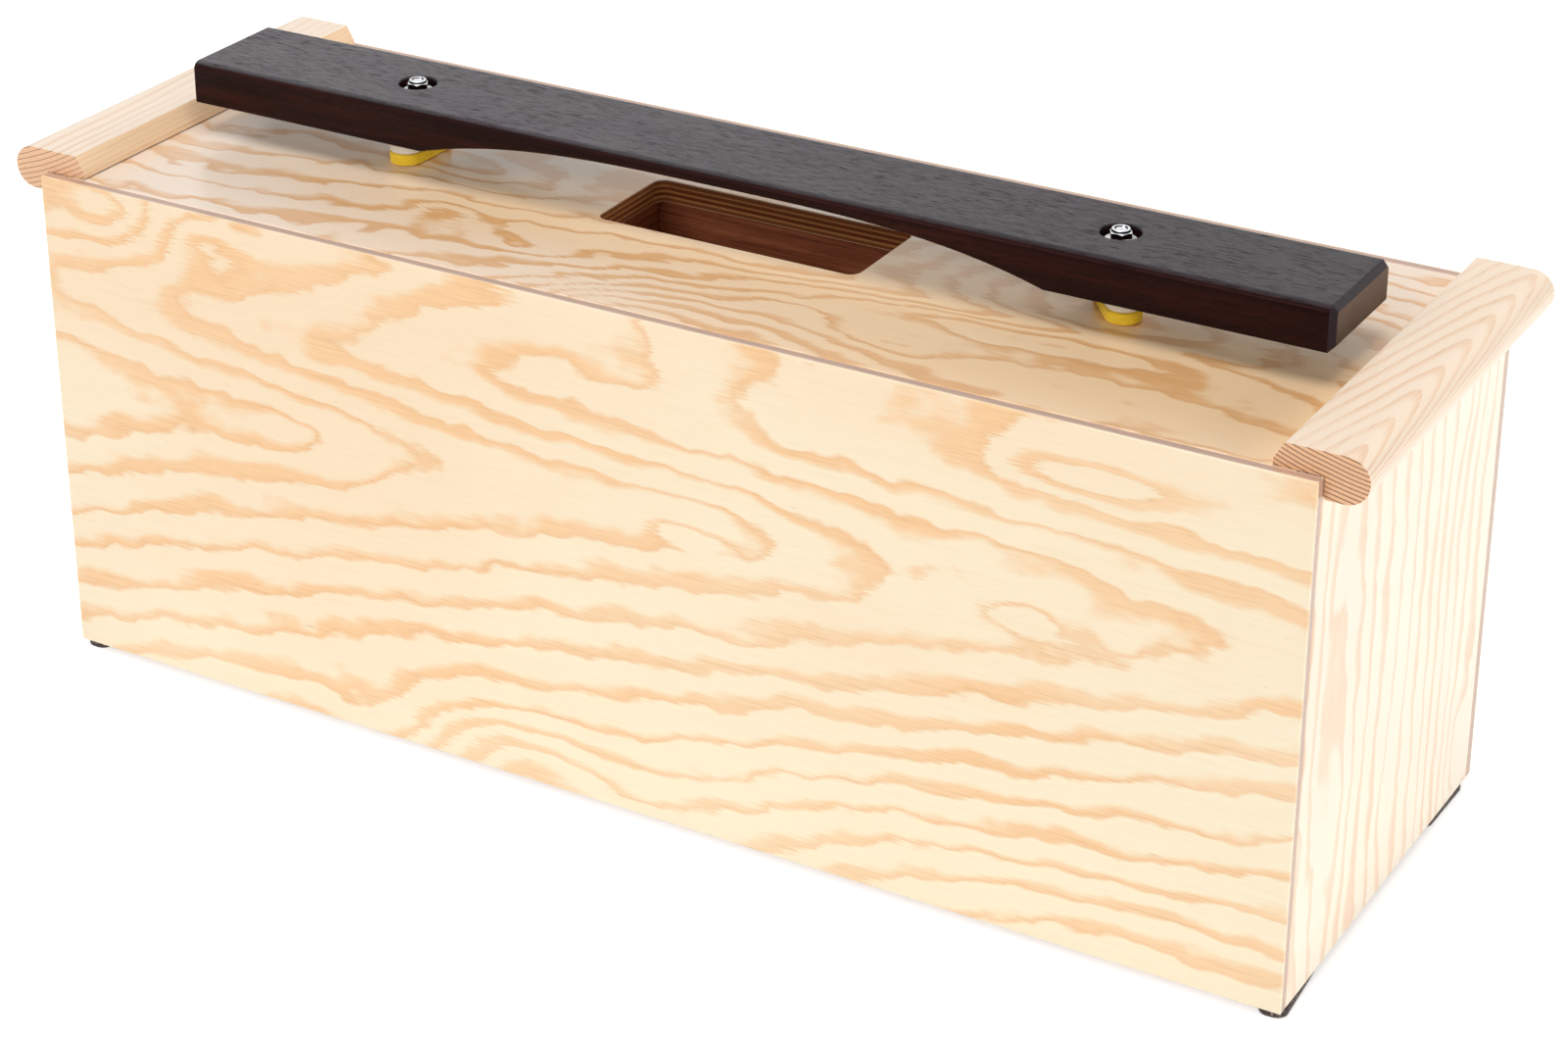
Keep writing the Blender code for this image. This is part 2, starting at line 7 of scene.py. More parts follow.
import bmesh
import bpy
import numpy as np
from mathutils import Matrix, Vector


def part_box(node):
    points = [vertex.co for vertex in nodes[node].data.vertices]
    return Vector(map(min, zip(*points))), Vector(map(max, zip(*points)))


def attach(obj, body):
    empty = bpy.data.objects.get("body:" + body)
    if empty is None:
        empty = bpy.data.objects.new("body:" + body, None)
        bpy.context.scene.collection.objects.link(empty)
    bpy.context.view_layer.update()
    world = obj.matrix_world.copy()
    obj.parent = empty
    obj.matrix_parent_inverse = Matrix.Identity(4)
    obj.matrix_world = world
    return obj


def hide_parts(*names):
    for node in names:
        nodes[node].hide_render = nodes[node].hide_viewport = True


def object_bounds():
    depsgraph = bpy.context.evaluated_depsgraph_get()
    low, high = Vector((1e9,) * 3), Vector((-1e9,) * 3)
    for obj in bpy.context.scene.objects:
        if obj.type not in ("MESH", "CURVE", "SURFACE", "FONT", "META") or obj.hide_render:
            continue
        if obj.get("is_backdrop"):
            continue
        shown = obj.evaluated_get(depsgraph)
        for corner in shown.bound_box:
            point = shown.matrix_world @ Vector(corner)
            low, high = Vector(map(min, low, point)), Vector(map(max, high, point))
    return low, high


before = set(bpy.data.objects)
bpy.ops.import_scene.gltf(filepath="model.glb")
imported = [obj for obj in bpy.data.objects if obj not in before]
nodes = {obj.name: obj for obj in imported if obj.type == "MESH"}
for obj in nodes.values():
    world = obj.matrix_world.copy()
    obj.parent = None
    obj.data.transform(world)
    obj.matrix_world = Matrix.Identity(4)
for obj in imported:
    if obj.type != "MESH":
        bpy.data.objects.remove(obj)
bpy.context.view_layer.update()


# The case boards are plywood faced with rotary-cut pine under a satin lacquer, glued edge to face.
# Front and back cover the edges of the other boards, so their own edges show along the top and ends.
# The rings of the log show on each face as bands that wander round low hills in the figure.
def paint(red, green, blue):
    """A colour as it is read off a screen, 0 to 255, made linear."""
    share = np.array([red, green, blue], float) / 255
    linear = np.where(share <= 0.04045, share / 12.92, ((share + 0.055) / 1.055) ** 2.4)
    return (*[float(value) for value in linear], 1.0)


class Finish:
    """A material being mixed: each method adds one shader node and gives back its output."""

    def __init__(self, name, roughness, metallic=0.0):
        self.material = bpy.data.materials.new(name)
        self.material.use_nodes = True
        self.tree = self.material.node_tree
        self.shader = self.tree.nodes["Principled BSDF"]
        self.shader.inputs["Roughness"].default_value = roughness
        self.shader.inputs["Metallic"].default_value = metallic
        self.place = self.tree.nodes.new("ShaderNodeTexCoord").outputs["Object"]
        self.axes = self.add("ShaderNodeSeparateXYZ", self.place).outputs

    def add(self, kind, *values):
        node = self.tree.nodes.new(kind)
        for socket, value in zip(node.inputs, values):
            self.feed(socket, value)
        return node

    def feed(self, socket, value):
        if isinstance(value, bpy.types.NodeSocket):
            self.tree.links.new(value, socket)
        elif value is not None:
            socket.default_value = value

    def maths(self, operation, *values):
        node = self.add("ShaderNodeMath", *values)
        node.operation = operation
        return node.outputs[0]

    def plus(self, first, second):
        return self.maths("ADD", first, second)

    def times(self, first, second):
        return self.maths("MULTIPLY", first, second)

    def between(self, value, low, high):
        """0 below low, 1 above high and smooth in between."""
        node = self.add("ShaderNodeMapRange", value, low, high)
        node.interpolation_type = "SMOOTHSTEP"
        return node.outputs[0]

    def stretched(self, scale, shift=(0.0, 0.0, 0.0), turn=(0.0, 0.0, 0.0)):
        return self.add("ShaderNodeMapping", self.place, shift, turn, scale).outputs[0]

    def noise(self, scale, shift=(0.0, 0.0, 0.0), detail=2.0, rough=0.5, turn=(0.0, 0.0, 0.0)):
        """Cloudy noise from 0 to 1, its grain per metre given along each axis."""
        node = self.add("ShaderNodeTexNoise")
        node.normalize = True
        self.feed(node.inputs["Vector"], self.stretched(scale, shift, turn))
        self.feed(node.inputs["Scale"], 1.0)
        self.feed(node.inputs["Detail"], detail)
        self.feed(node.inputs["Roughness"], rough)
        return node.outputs["Fac"]

    def mix(self, share, first, second, how="MIX"):
        node = self.tree.nodes.new("ShaderNodeMix")
        node.data_type = "RGBA"
        node.blend_type = how
        self.feed(node.inputs[0], share)
        self.feed(node.inputs[6], first)
        self.feed(node.inputs[7], second)
        return node.outputs[2]

    def steps(self, value, stops, how="LINEAR"):
        """A colour for each value, from stops of (value, colour)."""
        node = self.add("ShaderNodeValToRGB", value)
        node.color_ramp.interpolation = how
        marks = node.color_ramp.elements
        while len(marks) < len(stops):
            marks.new(0.5)
        for mark, (spot, colour) in zip(marks, stops):
            mark.position = spot
            mark.color = colour if len(colour) == 4 else (*colour, 1.0)
        return node.outputs["Color"]

    def relief(self, height, depth):
        """Bump whose full height is the given depth in metres."""
        node = self.tree.nodes.new("ShaderNodeBump")
        node.inputs["Strength"].default_value = 1.0
        node.inputs["Distance"].default_value = depth
        self.feed(node.inputs["Height"], height)
        self.feed(self.shader.inputs["Normal"], node.outputs["Normal"])

    def colour(self, value):
        self.feed(self.shader.inputs["Base Color"], value)

    def set(self, **values):
        for name, value in values.items():
            self.shader.inputs[name.replace("_", " ")].default_value = value

    def lacquer(self, weight, roughness):
        self.shader.inputs["Coat Weight"].default_value = weight
        self.shader.inputs["Coat Roughness"].default_value = roughness


def dress(names, material):
    """Give CAD nodes a finish in place of the one they were packed with."""
    for name in names:
        slots = nodes[name].material_slots
        for slot in slots:
            slot.material = material
        if not slots:
            nodes[name].data.materials.append(material)


# The pale arris colour is the face veneer seen on the edge, and partly a painted highlight where the
# rounded arris catches the light.
PALE_ARRIS_AND_HIGHLIGHT = paint(250, 232, 206)
GLUE = paint(96, 62, 44)
FRAY = 0.024
FACE_VENEER = 0.0005


def hill(finish, count, along, across, centre, reach, height, tilt):
    """Add a hill to the figure's ring count: height * exp(-(u squared + v squared)).

    u is the distance along the grain from the centre, over the hill's reach that way. v is the
    distance across the grain, over its reach, from a line through the centre at the given tilt.
    """
    u = finish.maths("MULTIPLY_ADD", along, 1.0 / reach[0], -centre[0] / reach[0])
    line = finish.maths(
        "MULTIPLY_ADD", along, -tilt / reach[1], (tilt * centre[0] - centre[1]) / reach[1])
    v = finish.maths("MULTIPLY_ADD", across, 1.0 / reach[1], line)
    square = finish.maths("MULTIPLY_ADD", v, v, finish.times(u, u))
    return finish.maths("MULTIPLY_ADD", finish.maths("POWER", math.exp(-1.0), square), height, count)


def veneer(name, grain, across, face, thickness, figure, tone, core):
    """Pine veneer over plywood: rings along the grain axis on the face, plies on the edges.

    The ring count is slope * across + lean * along + hills + noise. Each ring starts pale, turns
    to its band at a share of its width that noise varies, and fades over its last seventh. Fine
    noise first moves the point along the grain, which frays the bands where they cross it. face is
    (axis, level, side) of the veneered face, tone its pale, warm, band and line colours, and core
    the colours of the plies by their depth as a share of the thickness.
    """
    finish = Finish(name, 0.34)
    along_axis = "XYZ".index(grain)
    over = finish.axes["XYZ".index(across)]
    shift = figure["shift"]

    def drawn(along_scale, across_scale, moved=shift, detail=2.0, rough=0.5):
        scale = [across_scale] * 3
        scale[along_axis] = along_scale
        return finish.noise(scale, moved, detail, rough)

    along = finish.maths(
        "MULTIPLY_ADD", drawn(40.0, 1400.0, shift, 2.0, 0.6), FRAY,
        finish.plus(finish.axes[along_axis], -FRAY / 2))
    noise_mean = 0.5 * (figure["wander"] + figure["ripple"])
    count = finish.maths("MULTIPLY_ADD", along, figure["lean"], -noise_mean)
    count = finish.maths("MULTIPLY_ADD", over, figure["slope"], count)
    for centre, reach, height, tilt in figure["hills"]:
        count = hill(finish, count, along, over, centre, reach, height, tilt)
    count = finish.maths("MULTIPLY_ADD", drawn(6.0, 14.0), figure["wander"], count)
    count = finish.maths("MULTIPLY_ADD", drawn(34.0, 60.0), figure["ripple"], count)
    ring = finish.maths("FRACT", count)
    width = finish.between(drawn(7.0, 26.0, (3.3, 1.2, 4.1)), 0.30, 0.70)
    start = finish.maths("MULTIPLY_ADD", width, 0.40, 0.30)
    ending = finish.between(ring, 0.998, 0.86)
    band = finish.times(finish.between(ring, start, finish.plus(start, 0.28)), ending)
    patch = drawn(5.0, 14.0, (3.1, 1.7, 4.4))
    toward = finish.maths(
        "MULTIPLY_ADD", over, figure["warm"][1], finish.times(along, figure["warm"][0]))
    # A glow makes the face warmer and darker, as painted shade.
    for centre, reach, height, tilt in figure.get("glow", ()):
        toward = hill(finish, toward, along, over, centre, reach, height, tilt)
    warm = finish.between(finish.plus(toward, drawn(4.0, 8.0, (6.2, 2.9, 1.5))), 0.45, 1.15)
    strength = finish.maths(
        "MULTIPLY_ADD", finish.between(patch, 0.30, 0.65), 0.35, figure["bold"])
    strength = finish.maths("MULTIPLY_ADD", warm, 0.20, strength)
    pale, warm_pale, dark, line = tone
    colour = finish.mix(warm, pale, warm_pale)
    colour = finish.mix(finish.times(band, strength), colour, dark)
    rim = finish.times(finish.between(ring, 0.76, 0.93), ending)
    colour = finish.mix(finish.times(rim, finish.times(strength, 0.4)), colour, line)
    fine = drawn(30.0, 1500.0, (0.0, 0.0, 0.0), 2.0, 0.7)
    shade = finish.steps(fine, [(0.32, (0.90, 0.84, 0.74)), (0.52, (1.0,) * 3), (0.70, (1.0,) * 3)])
    colour = finish.mix(finish.maths("MULTIPLY_ADD", band, 0.55, 0.25), colour, shade, "MULTIPLY")
    duct = finish.between(drawn(55.0, 1300.0, (8.0, 8.0, 8.0), 1.0), 0.76, 0.82)
    duct = finish.times(duct, finish.between(patch, 0.50, 0.60))
    colour = finish.mix(finish.times(duct, 0.8), colour, paint(188, 132, 78))
    axis, level, side = face
    depth = finish.times(finish.plus(finish.axes["XYZ".index(axis)], -level), -side / thickness)
    plies = finish.steps(depth, core)
    streaks = drawn(60.0, 420.0, (0.0, 0.0, 0.0))
    streaks = finish.steps(streaks, [(0.3, (0.6,) * 3), (0.7, (1.0,) * 3)])
    plies = finish.mix(0.35, plies, streaks, "MULTIPLY")
    edge = finish.maths("GREATER_THAN", depth, FACE_VENEER / thickness)
    finish.colour(finish.mix(edge, colour, plies))
    finish.relief(finish.plus(finish.times(fine, 0.4), finish.times(band, 0.6)), depth=0.00006)
    finish.lacquer(weight=0.5, roughness=0.22)
    return finish.material


# Each hill is ((along, across), (reach along, reach across), rings, tilt). A glow has the same form
# and adds warmth in place of rings; on the top plate it is painted warm shade under the bar.
front_figure = {
    "slope": -46.0, "lean": 9.0, "wander": 0.9, "ripple": 0.9, "warm": (-0.4, 1.6),
    "shift": (1.3, 0.4, 2.2), "bold": 0.60,
    "hills": [
        ((-0.100, 0.229), (0.900, 0.043), 5.1, 0.035), ((0.000, 0.305), (0.900, 0.050), 8.0, 0.0),
        ((-0.243, 0.257), (0.024, 0.014), 1.3, 0.0), ((-0.200, 0.165), (0.050, 0.020), -0.7, 0.0),
        ((-0.310, 0.262), (0.022, 0.016), -1.2, 0.0), ((0.045, 0.172), (0.055, 0.018), -0.95, 0.0),
        ((0.035, 0.168), (0.026, 0.007), 1.1, 0.0), ((0.005, 0.245), (0.030, 0.012), -0.7, 0.0),
        ((0.240, 0.249), (0.040, 0.010), 1.3, 0.0), ((0.215, 0.172), (0.030, 0.010), 0.9, 0.0),
        ((0.210, 0.010), (0.130, 0.050), 1.6, 0.0), ((-0.060, 0.010), (0.050, 0.030), 1.6, 0.0),
        ((-0.150, 0.010), (0.040, 0.030), -0.8, 0.0),
    ],
}
back_figure = {
    "slope": -44.0, "lean": -6.0, "wander": 1.8, "ripple": 1.1, "warm": (0.5, 1.2),
    "shift": (5.1, 2.0, 7.7), "bold": 0.55,
    "hills": [
        ((-0.180, 0.090), (0.110, 0.050), 3.4, 0.05), ((0.120, 0.200), (0.140, 0.040), 3.8, -0.05),
        ((0.260, 0.060), (0.090, 0.035), 2.6, 0.0), ((0.000, 0.310), (0.900, 0.060), 6.0, 0.0),
        ((-0.050, 0.150), (0.040, 0.012), 1.2, 0.0), ((0.060, 0.040), (0.050, 0.020), -1.1, 0.0),
    ],
}
# The top's warm slope is partly the veneer's own tone and partly painted light and shade, and its glow
# is painted warm shade under the bar.
top_figure = {
    "slope": -42.0, "lean": 6.0, "wander": 1.7, "ripple": 1.3, "warm": (1.3, -3.5),
    "shift": (2.7, 6.1, 0.4), "bold": 0.50, "glow": [((0.020, -0.010), (0.330, 0.050), 0.7, 0.0)],
    "hills": [
        ((0.055, -0.122), (0.075, 0.050), 3.4, 0.0), ((-0.010, -0.122), (0.040, 0.032), 2.8, 0.0),
        ((0.060, -0.075), (0.035, 0.010), 0.9, 0.0), ((0.120, -0.088), (0.030, 0.010), -1.0, 0.0),
        ((0.200, 0.020), (0.110, 0.080), 5.6, 0.0), ((0.150, -0.033), (0.130, 0.010), -1.3, 0.0),
        ((0.130, -0.054), (0.120, 0.011), 1.2, 0.0), ((0.230, -0.085), (0.070, 0.012), 0.6, 0.0),
        ((-0.143, -0.059), (0.016, 0.010), 1.4, 0.0), ((-0.090, -0.075), (0.022, 0.010), -0.9, 0.0),
        ((-0.160, -0.002), (0.060, 0.018), -1.6, -0.1), ((-0.060, 0.060), (0.150, 0.040), 2.0, 0.0),
    ],
}
end_figure = {
    "slope": 56.0, "lean": 1.5, "wander": 1.2, "ripple": 0.7, "warm": (1.4, -1.5),
    "shift": (0.9, 3.3, 5.2), "bold": 0.60,
    "hills": [
        ((0.140, 0.100), (0.300, 0.050), 1.9, 0.0), ((0.030, 0.095), (0.030, 0.016), 1.3, 0.0),
        ((0.235, 0.080), (0.030, 0.020), -0.9, 0.0), ((0.130, -0.095), (0.050, 0.012), 0.9, 0.0),
        ((0.215, -0.092), (0.035, 0.012), 0.8, 0.0), ((0.080, -0.070), (0.060, 0.014), -0.7, 0.0),
        ((0.055, -0.005), (0.030, 0.010), 0.7, 0.0),
    ],
}
left_figure = dict(end_figure, slope=-52.0, shift=(7.4, 1.1, 3.0), warm=(1.2, 1.0))
FACE_PLY = 0.006
BOARD_PLY = 0.012
front_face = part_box("front_panel")[0].y
back_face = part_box("back_panel")[1].y
top_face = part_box("top_plate")[1].z
left_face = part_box("left_end_panel")[0].x
right_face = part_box("right_end_panel")[1].x
three_ply = [
    (0.0, PALE_ARRIS_AND_HIGHLIGHT), (0.12, PALE_ARRIS_AND_HIGHLIGHT), (0.20, paint(226, 196, 172)), (0.30, paint(200, 164, 142)),
    (0.68, paint(196, 158, 136)), (0.85, paint(208, 170, 148)), (0.97, paint(230, 196, 174)),
]
slot_plies = [
    (0.0, PALE_ARRIS_AND_HIGHLIGHT), (0.045, PALE_ARRIS_AND_HIGHLIGHT), (0.06, paint(160, 98, 54)), (0.22, paint(146, 84, 44)),
    (0.25, paint(214, 152, 96)), (0.285, paint(218, 158, 100)), (0.32, paint(144, 80, 40)),
    (0.45, paint(130, 68, 34)), (0.49, paint(206, 142, 84)), (0.54, paint(208, 146, 88)),
    (0.58, paint(130, 68, 34)), (0.70, paint(122, 64, 32)), (0.74, paint(206, 144, 86)),
    (0.79, paint(210, 150, 92)), (0.83, paint(148, 88, 48)), (0.96, paint(140, 82, 44)),
    (0.98, paint(232, 186, 140)),
]
end_plies = [
    (0.0, PALE_ARRIS_AND_HIGHLIGHT), (0.10, PALE_ARRIS_AND_HIGHLIGHT), (0.115, GLUE), (0.15, paint(196, 160, 136)),
    (0.30, paint(205, 170, 146)), (0.325, GLUE), (0.36, paint(188, 150, 128)),
    (0.64, paint(188, 150, 128)), (0.675, GLUE), (0.71, paint(208, 174, 150)),
]
front_tone = (paint(255, 240, 210), paint(252, 226, 192), paint(251, 206, 154), paint(238, 184, 124))
top_tone = (paint(252, 231, 211), paint(250, 214, 170), paint(234, 180, 122), paint(214, 156, 100))
end_tone = (paint(255, 243, 220), paint(252, 231, 206), paint(248, 212, 178), paint(236, 190, 146))
dress(["front_panel"], veneer(
    "lacquered_pine_front", "X", "Z", ("Y", front_face, -1), FACE_PLY, front_figure, front_tone,
    three_ply))
dress(["back_panel"], veneer(
    "lacquered_pine_back", "X", "Z", ("Y", back_face, 1), FACE_PLY, back_figure, front_tone,
    three_ply))
dress(["top_plate"], veneer(
    "lacquered_pine_top", "X", "Y", ("Z", top_face, 1), BOARD_PLY, top_figure, top_tone,
    slot_plies))
dress(["left_end_panel"], veneer(
    "lacquered_pine_left_end", "Z", "Y", ("X", left_face, -1), BOARD_PLY, left_figure, end_tone,
    end_plies))
dress(["right_end_panel"], veneer(
    "lacquered_pine_right_end", "Z", "Y", ("X", right_face, 1), BOARD_PLY, end_figure, end_tone,
    end_plies))


# Inside the case: a bare plywood bottom, and four sawn pine battens glued along the long corners.
# Solid pine is coloured as a log is, by rings about a pith line, so its end grain is right too.
LEANING_FACE = 0.0040


def solid_pine(name, pith, lean, spacing, tone, roughness=0.40, coat=0.4, ends=None, seat=None):
    """Solid pine: the ring count is the distance from a leaning pith line over spacing, plus noise.

    pith is a point on that line, lean its direction, and spacing the width of a ring. ends, if
    given, is how far out along Y the end grain starts, its pale colour and its line colour, and the
    shares of a ring where the line starts and is full. seat, if given, is (x, z): the face that
    leans towards the middle gets painted shade, more yellow and darker, and a painted shadow darkens
    its foot in the crease, nearer than x and lower than z.
    """
    finish = Finish(name, roughness)
    line = Vector(lean).normalized()
    turn = line.to_track_quat("Z", "Y").inverted().to_euler()
    moved = finish.add("ShaderNodeVectorMath", finish.place, pith)
    moved.operation = "SUBTRACT"
    turned = finish.add("ShaderNodeVectorRotate", moved.outputs[0])
    turned.rotation_type = "EULER_XYZ"
    turned.inputs["Rotation"].default_value = turn
    parts = finish.add("ShaderNodeSeparateXYZ", turned.outputs[0]).outputs
    radius = finish.maths("SQRT", finish.plus(
        finish.times(parts[0], parts[0]), finish.times(parts[1], parts[1])))
    wander = finish.noise((22.0, 7.0, 22.0), (4.0, 1.0, 2.0), 2.0)
    count = finish.plus(finish.times(radius, 1.0 / spacing), finish.times(wander, 1.5))
    ring = finish.maths("FRACT", count)
    ending = finish.between(ring, 0.998, 0.93)
    band = finish.times(finish.between(ring, 0.42, 0.86), ending)
    vary = finish.noise((40.0, 6.0, 40.0), (1.0, 5.0, 2.0), 2.0)
    strength = finish.maths("MULTIPLY_ADD", finish.between(vary, 0.30, 0.65), 0.6, 0.4)
    pale, dark = tone
    colour = finish.mix(finish.times(band, strength), pale, dark)
    fine = finish.noise((900.0, 26.0, 900.0), rough=0.6)
    shade = finish.steps(fine, [(0.32, (0.88, 0.80, 0.72)), (0.52, (1.0,) * 3)])
    colour = finish.mix(finish.maths("MULTIPLY_ADD", band, 0.4, 0.2), colour, shade, "MULTIPLY")
    if ends:
        start, end_pale, end_line, line_start, line_full = ends
        line = finish.times(finish.between(ring, line_start, line_full), ending)
        grain = finish.noise((900.0, 900.0, 900.0), rough=0.6)
        cut = finish.mix(finish.times(line, 0.9), end_pale, end_line)
        speck = finish.steps(grain, [(0.35, (0.80,) * 3), (0.55, (1.0,) * 3)])
        cut = finish.mix(0.6, cut, speck, "MULTIPLY")
        out = finish.maths("GREATER_THAN", finish.maths("ABSOLUTE", finish.axes[1]), start)
        colour = finish.mix(out, colour, cut)
    # Painted shade: the face that leans towards the middle is made darker and more yellow, and a
    # painted shadow darkens the crease at its foot.
    if seat:
        out_x = finish.maths("ABSOLUTE", finish.axes[0])
        leaning = finish.maths("LESS_THAN", out_x, seat[0] + LEANING_FACE)
        if ends:
            leaning = finish.times(leaning, finish.maths("SUBTRACT", 1.0, out))
        colour = finish.mix(leaning, colour, (0.95, 0.83, 0.66, 1.0), "MULTIPLY")
        inner = finish.maths("LESS_THAN", out_x, seat[0])
        foot = finish.times(inner, finish.maths("LESS_THAN", finish.axes[2], seat[1]))
        colour = finish.mix(finish.times(foot, 0.85), colour, paint(92, 52, 26))
    finish.colour(colour)
    finish.relief(finish.plus(finish.times(fine, 0.5), finish.times(band, 0.5)), depth=0.00005)
    finish.lacquer(weight=coat, roughness=0.25)
    return finish.material


sawn_tone = (paint(226, 194, 150), paint(196, 148, 100))
dress(
    ["bottom_front_batten", "bottom_back_batten", "top_front_batten", "top_back_batten"],
    solid_pine(
        "sawn_pine", pith=(0.0, 0.3, 0.05), lean=(1.0, 0.02, 0.01), spacing=0.0028, tone=sawn_tone,
        roughness=0.6, coat=0.0),
)
bottom_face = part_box("bottom_panel")[0].z
bottom_figure = dict(back_figure, shift=(9.0, 1.0, 3.0), lean=4.0)
bottom_tone = (paint(222, 190, 150), paint(212, 176, 134), paint(188, 144, 100), paint(160, 116, 76))
dress(["bottom_panel"], veneer(
    "bare_ply_bottom", "X", "Y", ("Z", bottom_face, -1), FACE_PLY, bottom_figure, bottom_tone,
    three_ply))


# Below the slot four bare red-brown ply boards make a duct, glued under the top plate.
# Only their inner faces show, down through the slot, with a fine straight grain.
def duct_wood(name):
    """Red-brown ply face: two sets of noise drawn out along the board give grain and pores."""
    finish = Finish(name, 0.55)
    grain = finish.noise((14.0, 14.0, 520.0), detail=3.0, rough=0.6)
    colour = finish.steps(grain, [
        (0.28, paint(91, 43, 22)), (0.46, paint(140, 72, 40)), (0.60, paint(160, 90, 54)),
        (0.74, paint(175, 108, 70)),
    ])
    pores = finish.noise((90.0, 90.0, 2400.0), (1.0, 1.0, 1.0), 1.0)
    dark = finish.between(pores, 0.40, 0.30)
    finish.colour(finish.mix(finish.times(dark, 0.6), colour, paint(56, 24, 12)))
    finish.relief(grain, depth=0.00008)
    return finish.material


dress(
    ["duct_front_board", "duct_back_board", "duct_left_board", "duct_right_board"],
    duct_wood("red_brown_ply"),
)


# A rebated pine rail sits over each end of the case as a handle, with a rounded nose outside.
# Three screws driven up through the top plate hold it; they are hidden under the rail.
SAWN_END = 0.0003
# The painted shadow in the crease where each rail sits on the top plate reaches this far in and this
# high.
CREASE_SHADE_WIDTH = 0.001
CREASE_SHADE_HEIGHT = 0.0006
rail_low, rail_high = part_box("right_handle_rail")
left_tone = (paint(249, 229, 208), paint(240, 210, 180))
right_tone = (paint(247, 225, 201), paint(239, 203, 168))
rail_end = rail_high.y - SAWN_END
rail_seat = (rail_low.x + CREASE_SHADE_WIDTH, top_face + CREASE_SHADE_HEIGHT)
dress(["left_handle_rail"], solid_pine(
    "lacquered_rail_left", pith=(-0.426, 0.0, 0.458), lean=(0.0, 1.0, 0.015), spacing=0.0026,
    tone=left_tone, ends=(rail_end, paint(240, 192, 150), paint(150, 90, 56), 0.76, 0.88),
    seat=rail_seat))
dress(["right_handle_rail"], solid_pine(
    "lacquered_rail_right", pith=(0.418, 0.0, 0.5286), lean=(0.0, 1.0, 0.070), spacing=0.00215,
    tone=right_tone, ends=(rail_end, paint(240, 190, 144), paint(118, 60, 30), 0.58, 0.82),
    seat=rail_seat))


ROUGHNESS_SWING = 0.16


def plated(name, tint, roughness, crease=None):
    """Bright zinc plate: cloudy noise varies the roughness and tint a little.

    crease, if given, is the lowest and highest level of a groove that is painted dark as shade.
    """
    finish = Finish(name, roughness, metallic=1.0)
    cloud = finish.noise((600.0, 600.0, 600.0), detail=3.0)
    colour = finish.steps(cloud, [(0.3, tuple(c * 0.82 for c in tint[:3])), (0.7, tint)])
    if crease:
        # Painted shade darkens the groove.
        height = finish.axes[2]
        inside = finish.times(
            finish.maths("GREATER_THAN", height, crease[0]),
            finish.maths("LESS_THAN", height, crease[1]))
        colour = finish.mix(inside, colour, paint(30, 30, 34))
    finish.colour(colour)
    finish.feed(finish.shader.inputs["Roughness"], finish.maths(
        "MULTIPLY_ADD", cloud, ROUGHNESS_SWING, roughness - ROUGHNESS_SWING / 2))
    finish.relief(cloud, depth=0.00001)
    return finish.material


zinc = plated("zinc_plate", paint(214, 216, 220), 0.16)
dress([side + "_rail_screw_" + str(n) for side in ("left", "right") for n in (1, 2, 3)], zinc)


# Four strips of dense grey felt are glued under the corners, each pressed on a little askew.
# They are cut from recycled felt: grey-brown with lighter flecks.
# The felt's ripple has a depth in metres and four waves in radians per metre.
RIPPLE = 0.00006
RIPPLE_ACROSS = (5100, 4300)
RIPPLE_ALONG = (4700, 3900)


def felt_grid(outline, bore, low, high, edge, swell):
    """Points of a felt pad as a surface of two parameters, round its section and round its outline.

    From the bore over the top: bore + share * (inset outline - bore), then a quarter round of radius
    edge, a side that swells by a half sine, another quarter round, and back to the bore below.
    A fine ripple, the product of two sines, roughens the surface. Without a bore it ends in poles.
    """
    ahead = np.roll(outline, -1, 0) - np.roll(outline, 1, 0)
    outward = np.stack([ahead[:, 1], -ahead[:, 0]], 1) / np.linalg.norm(ahead, axis=1)[:, None]
    rim = outline - edge * outward
    angle = np.arctan2(rim[:, 1], rim[:, 0])
    inner = bore * np.stack([np.cos(angle), np.sin(angle)], 1)
    flat = np.linspace(0.0, 1.0, 9)
    turn = np.linspace(0.0, math.pi / 2, 6)[1:]
    side = np.linspace(0.0, 1.0, 9)[1:-1]
    share = np.concatenate([flat, np.ones(2 * len(turn) + len(side)), flat[::-1]])
    push = np.concatenate([
        0 * flat, edge * np.sin(turn), edge + swell * np.sin(math.pi * side),
        edge * np.sin(turn[::-1]), 0 * flat,
    ])
    level = np.concatenate([
        high + 0 * flat, high - edge * (1 - np.cos(turn)), high - edge - (high - low - 2 * edge) * side,
        low + edge * (1 - np.cos(turn[::-1])), low + 0 * flat,
    ])
    plan = inner + share[:, None, None] * (rim - inner) + push[:, None, None] * outward
    level = level[:, None]
    waves = np.sin(plan[..., 0] * RIPPLE_ACROSS[0] + level * RIPPLE_ACROSS[1])
    waves = waves * np.sin(plan[..., 1] * RIPPLE_ALONG[0] - level * RIPPLE_ALONG[1])
    plan = plan + (RIPPLE * waves * (push > 0)[:, None])[..., None] * outward
    sink = RIPPLE * (0.5 + 0.5 * waves) * (push == 0)[:, None]
    height = level + np.where(level > (low + high) / 2, -sink, sink)
    return np.concatenate([plan, height[..., None]], 2)


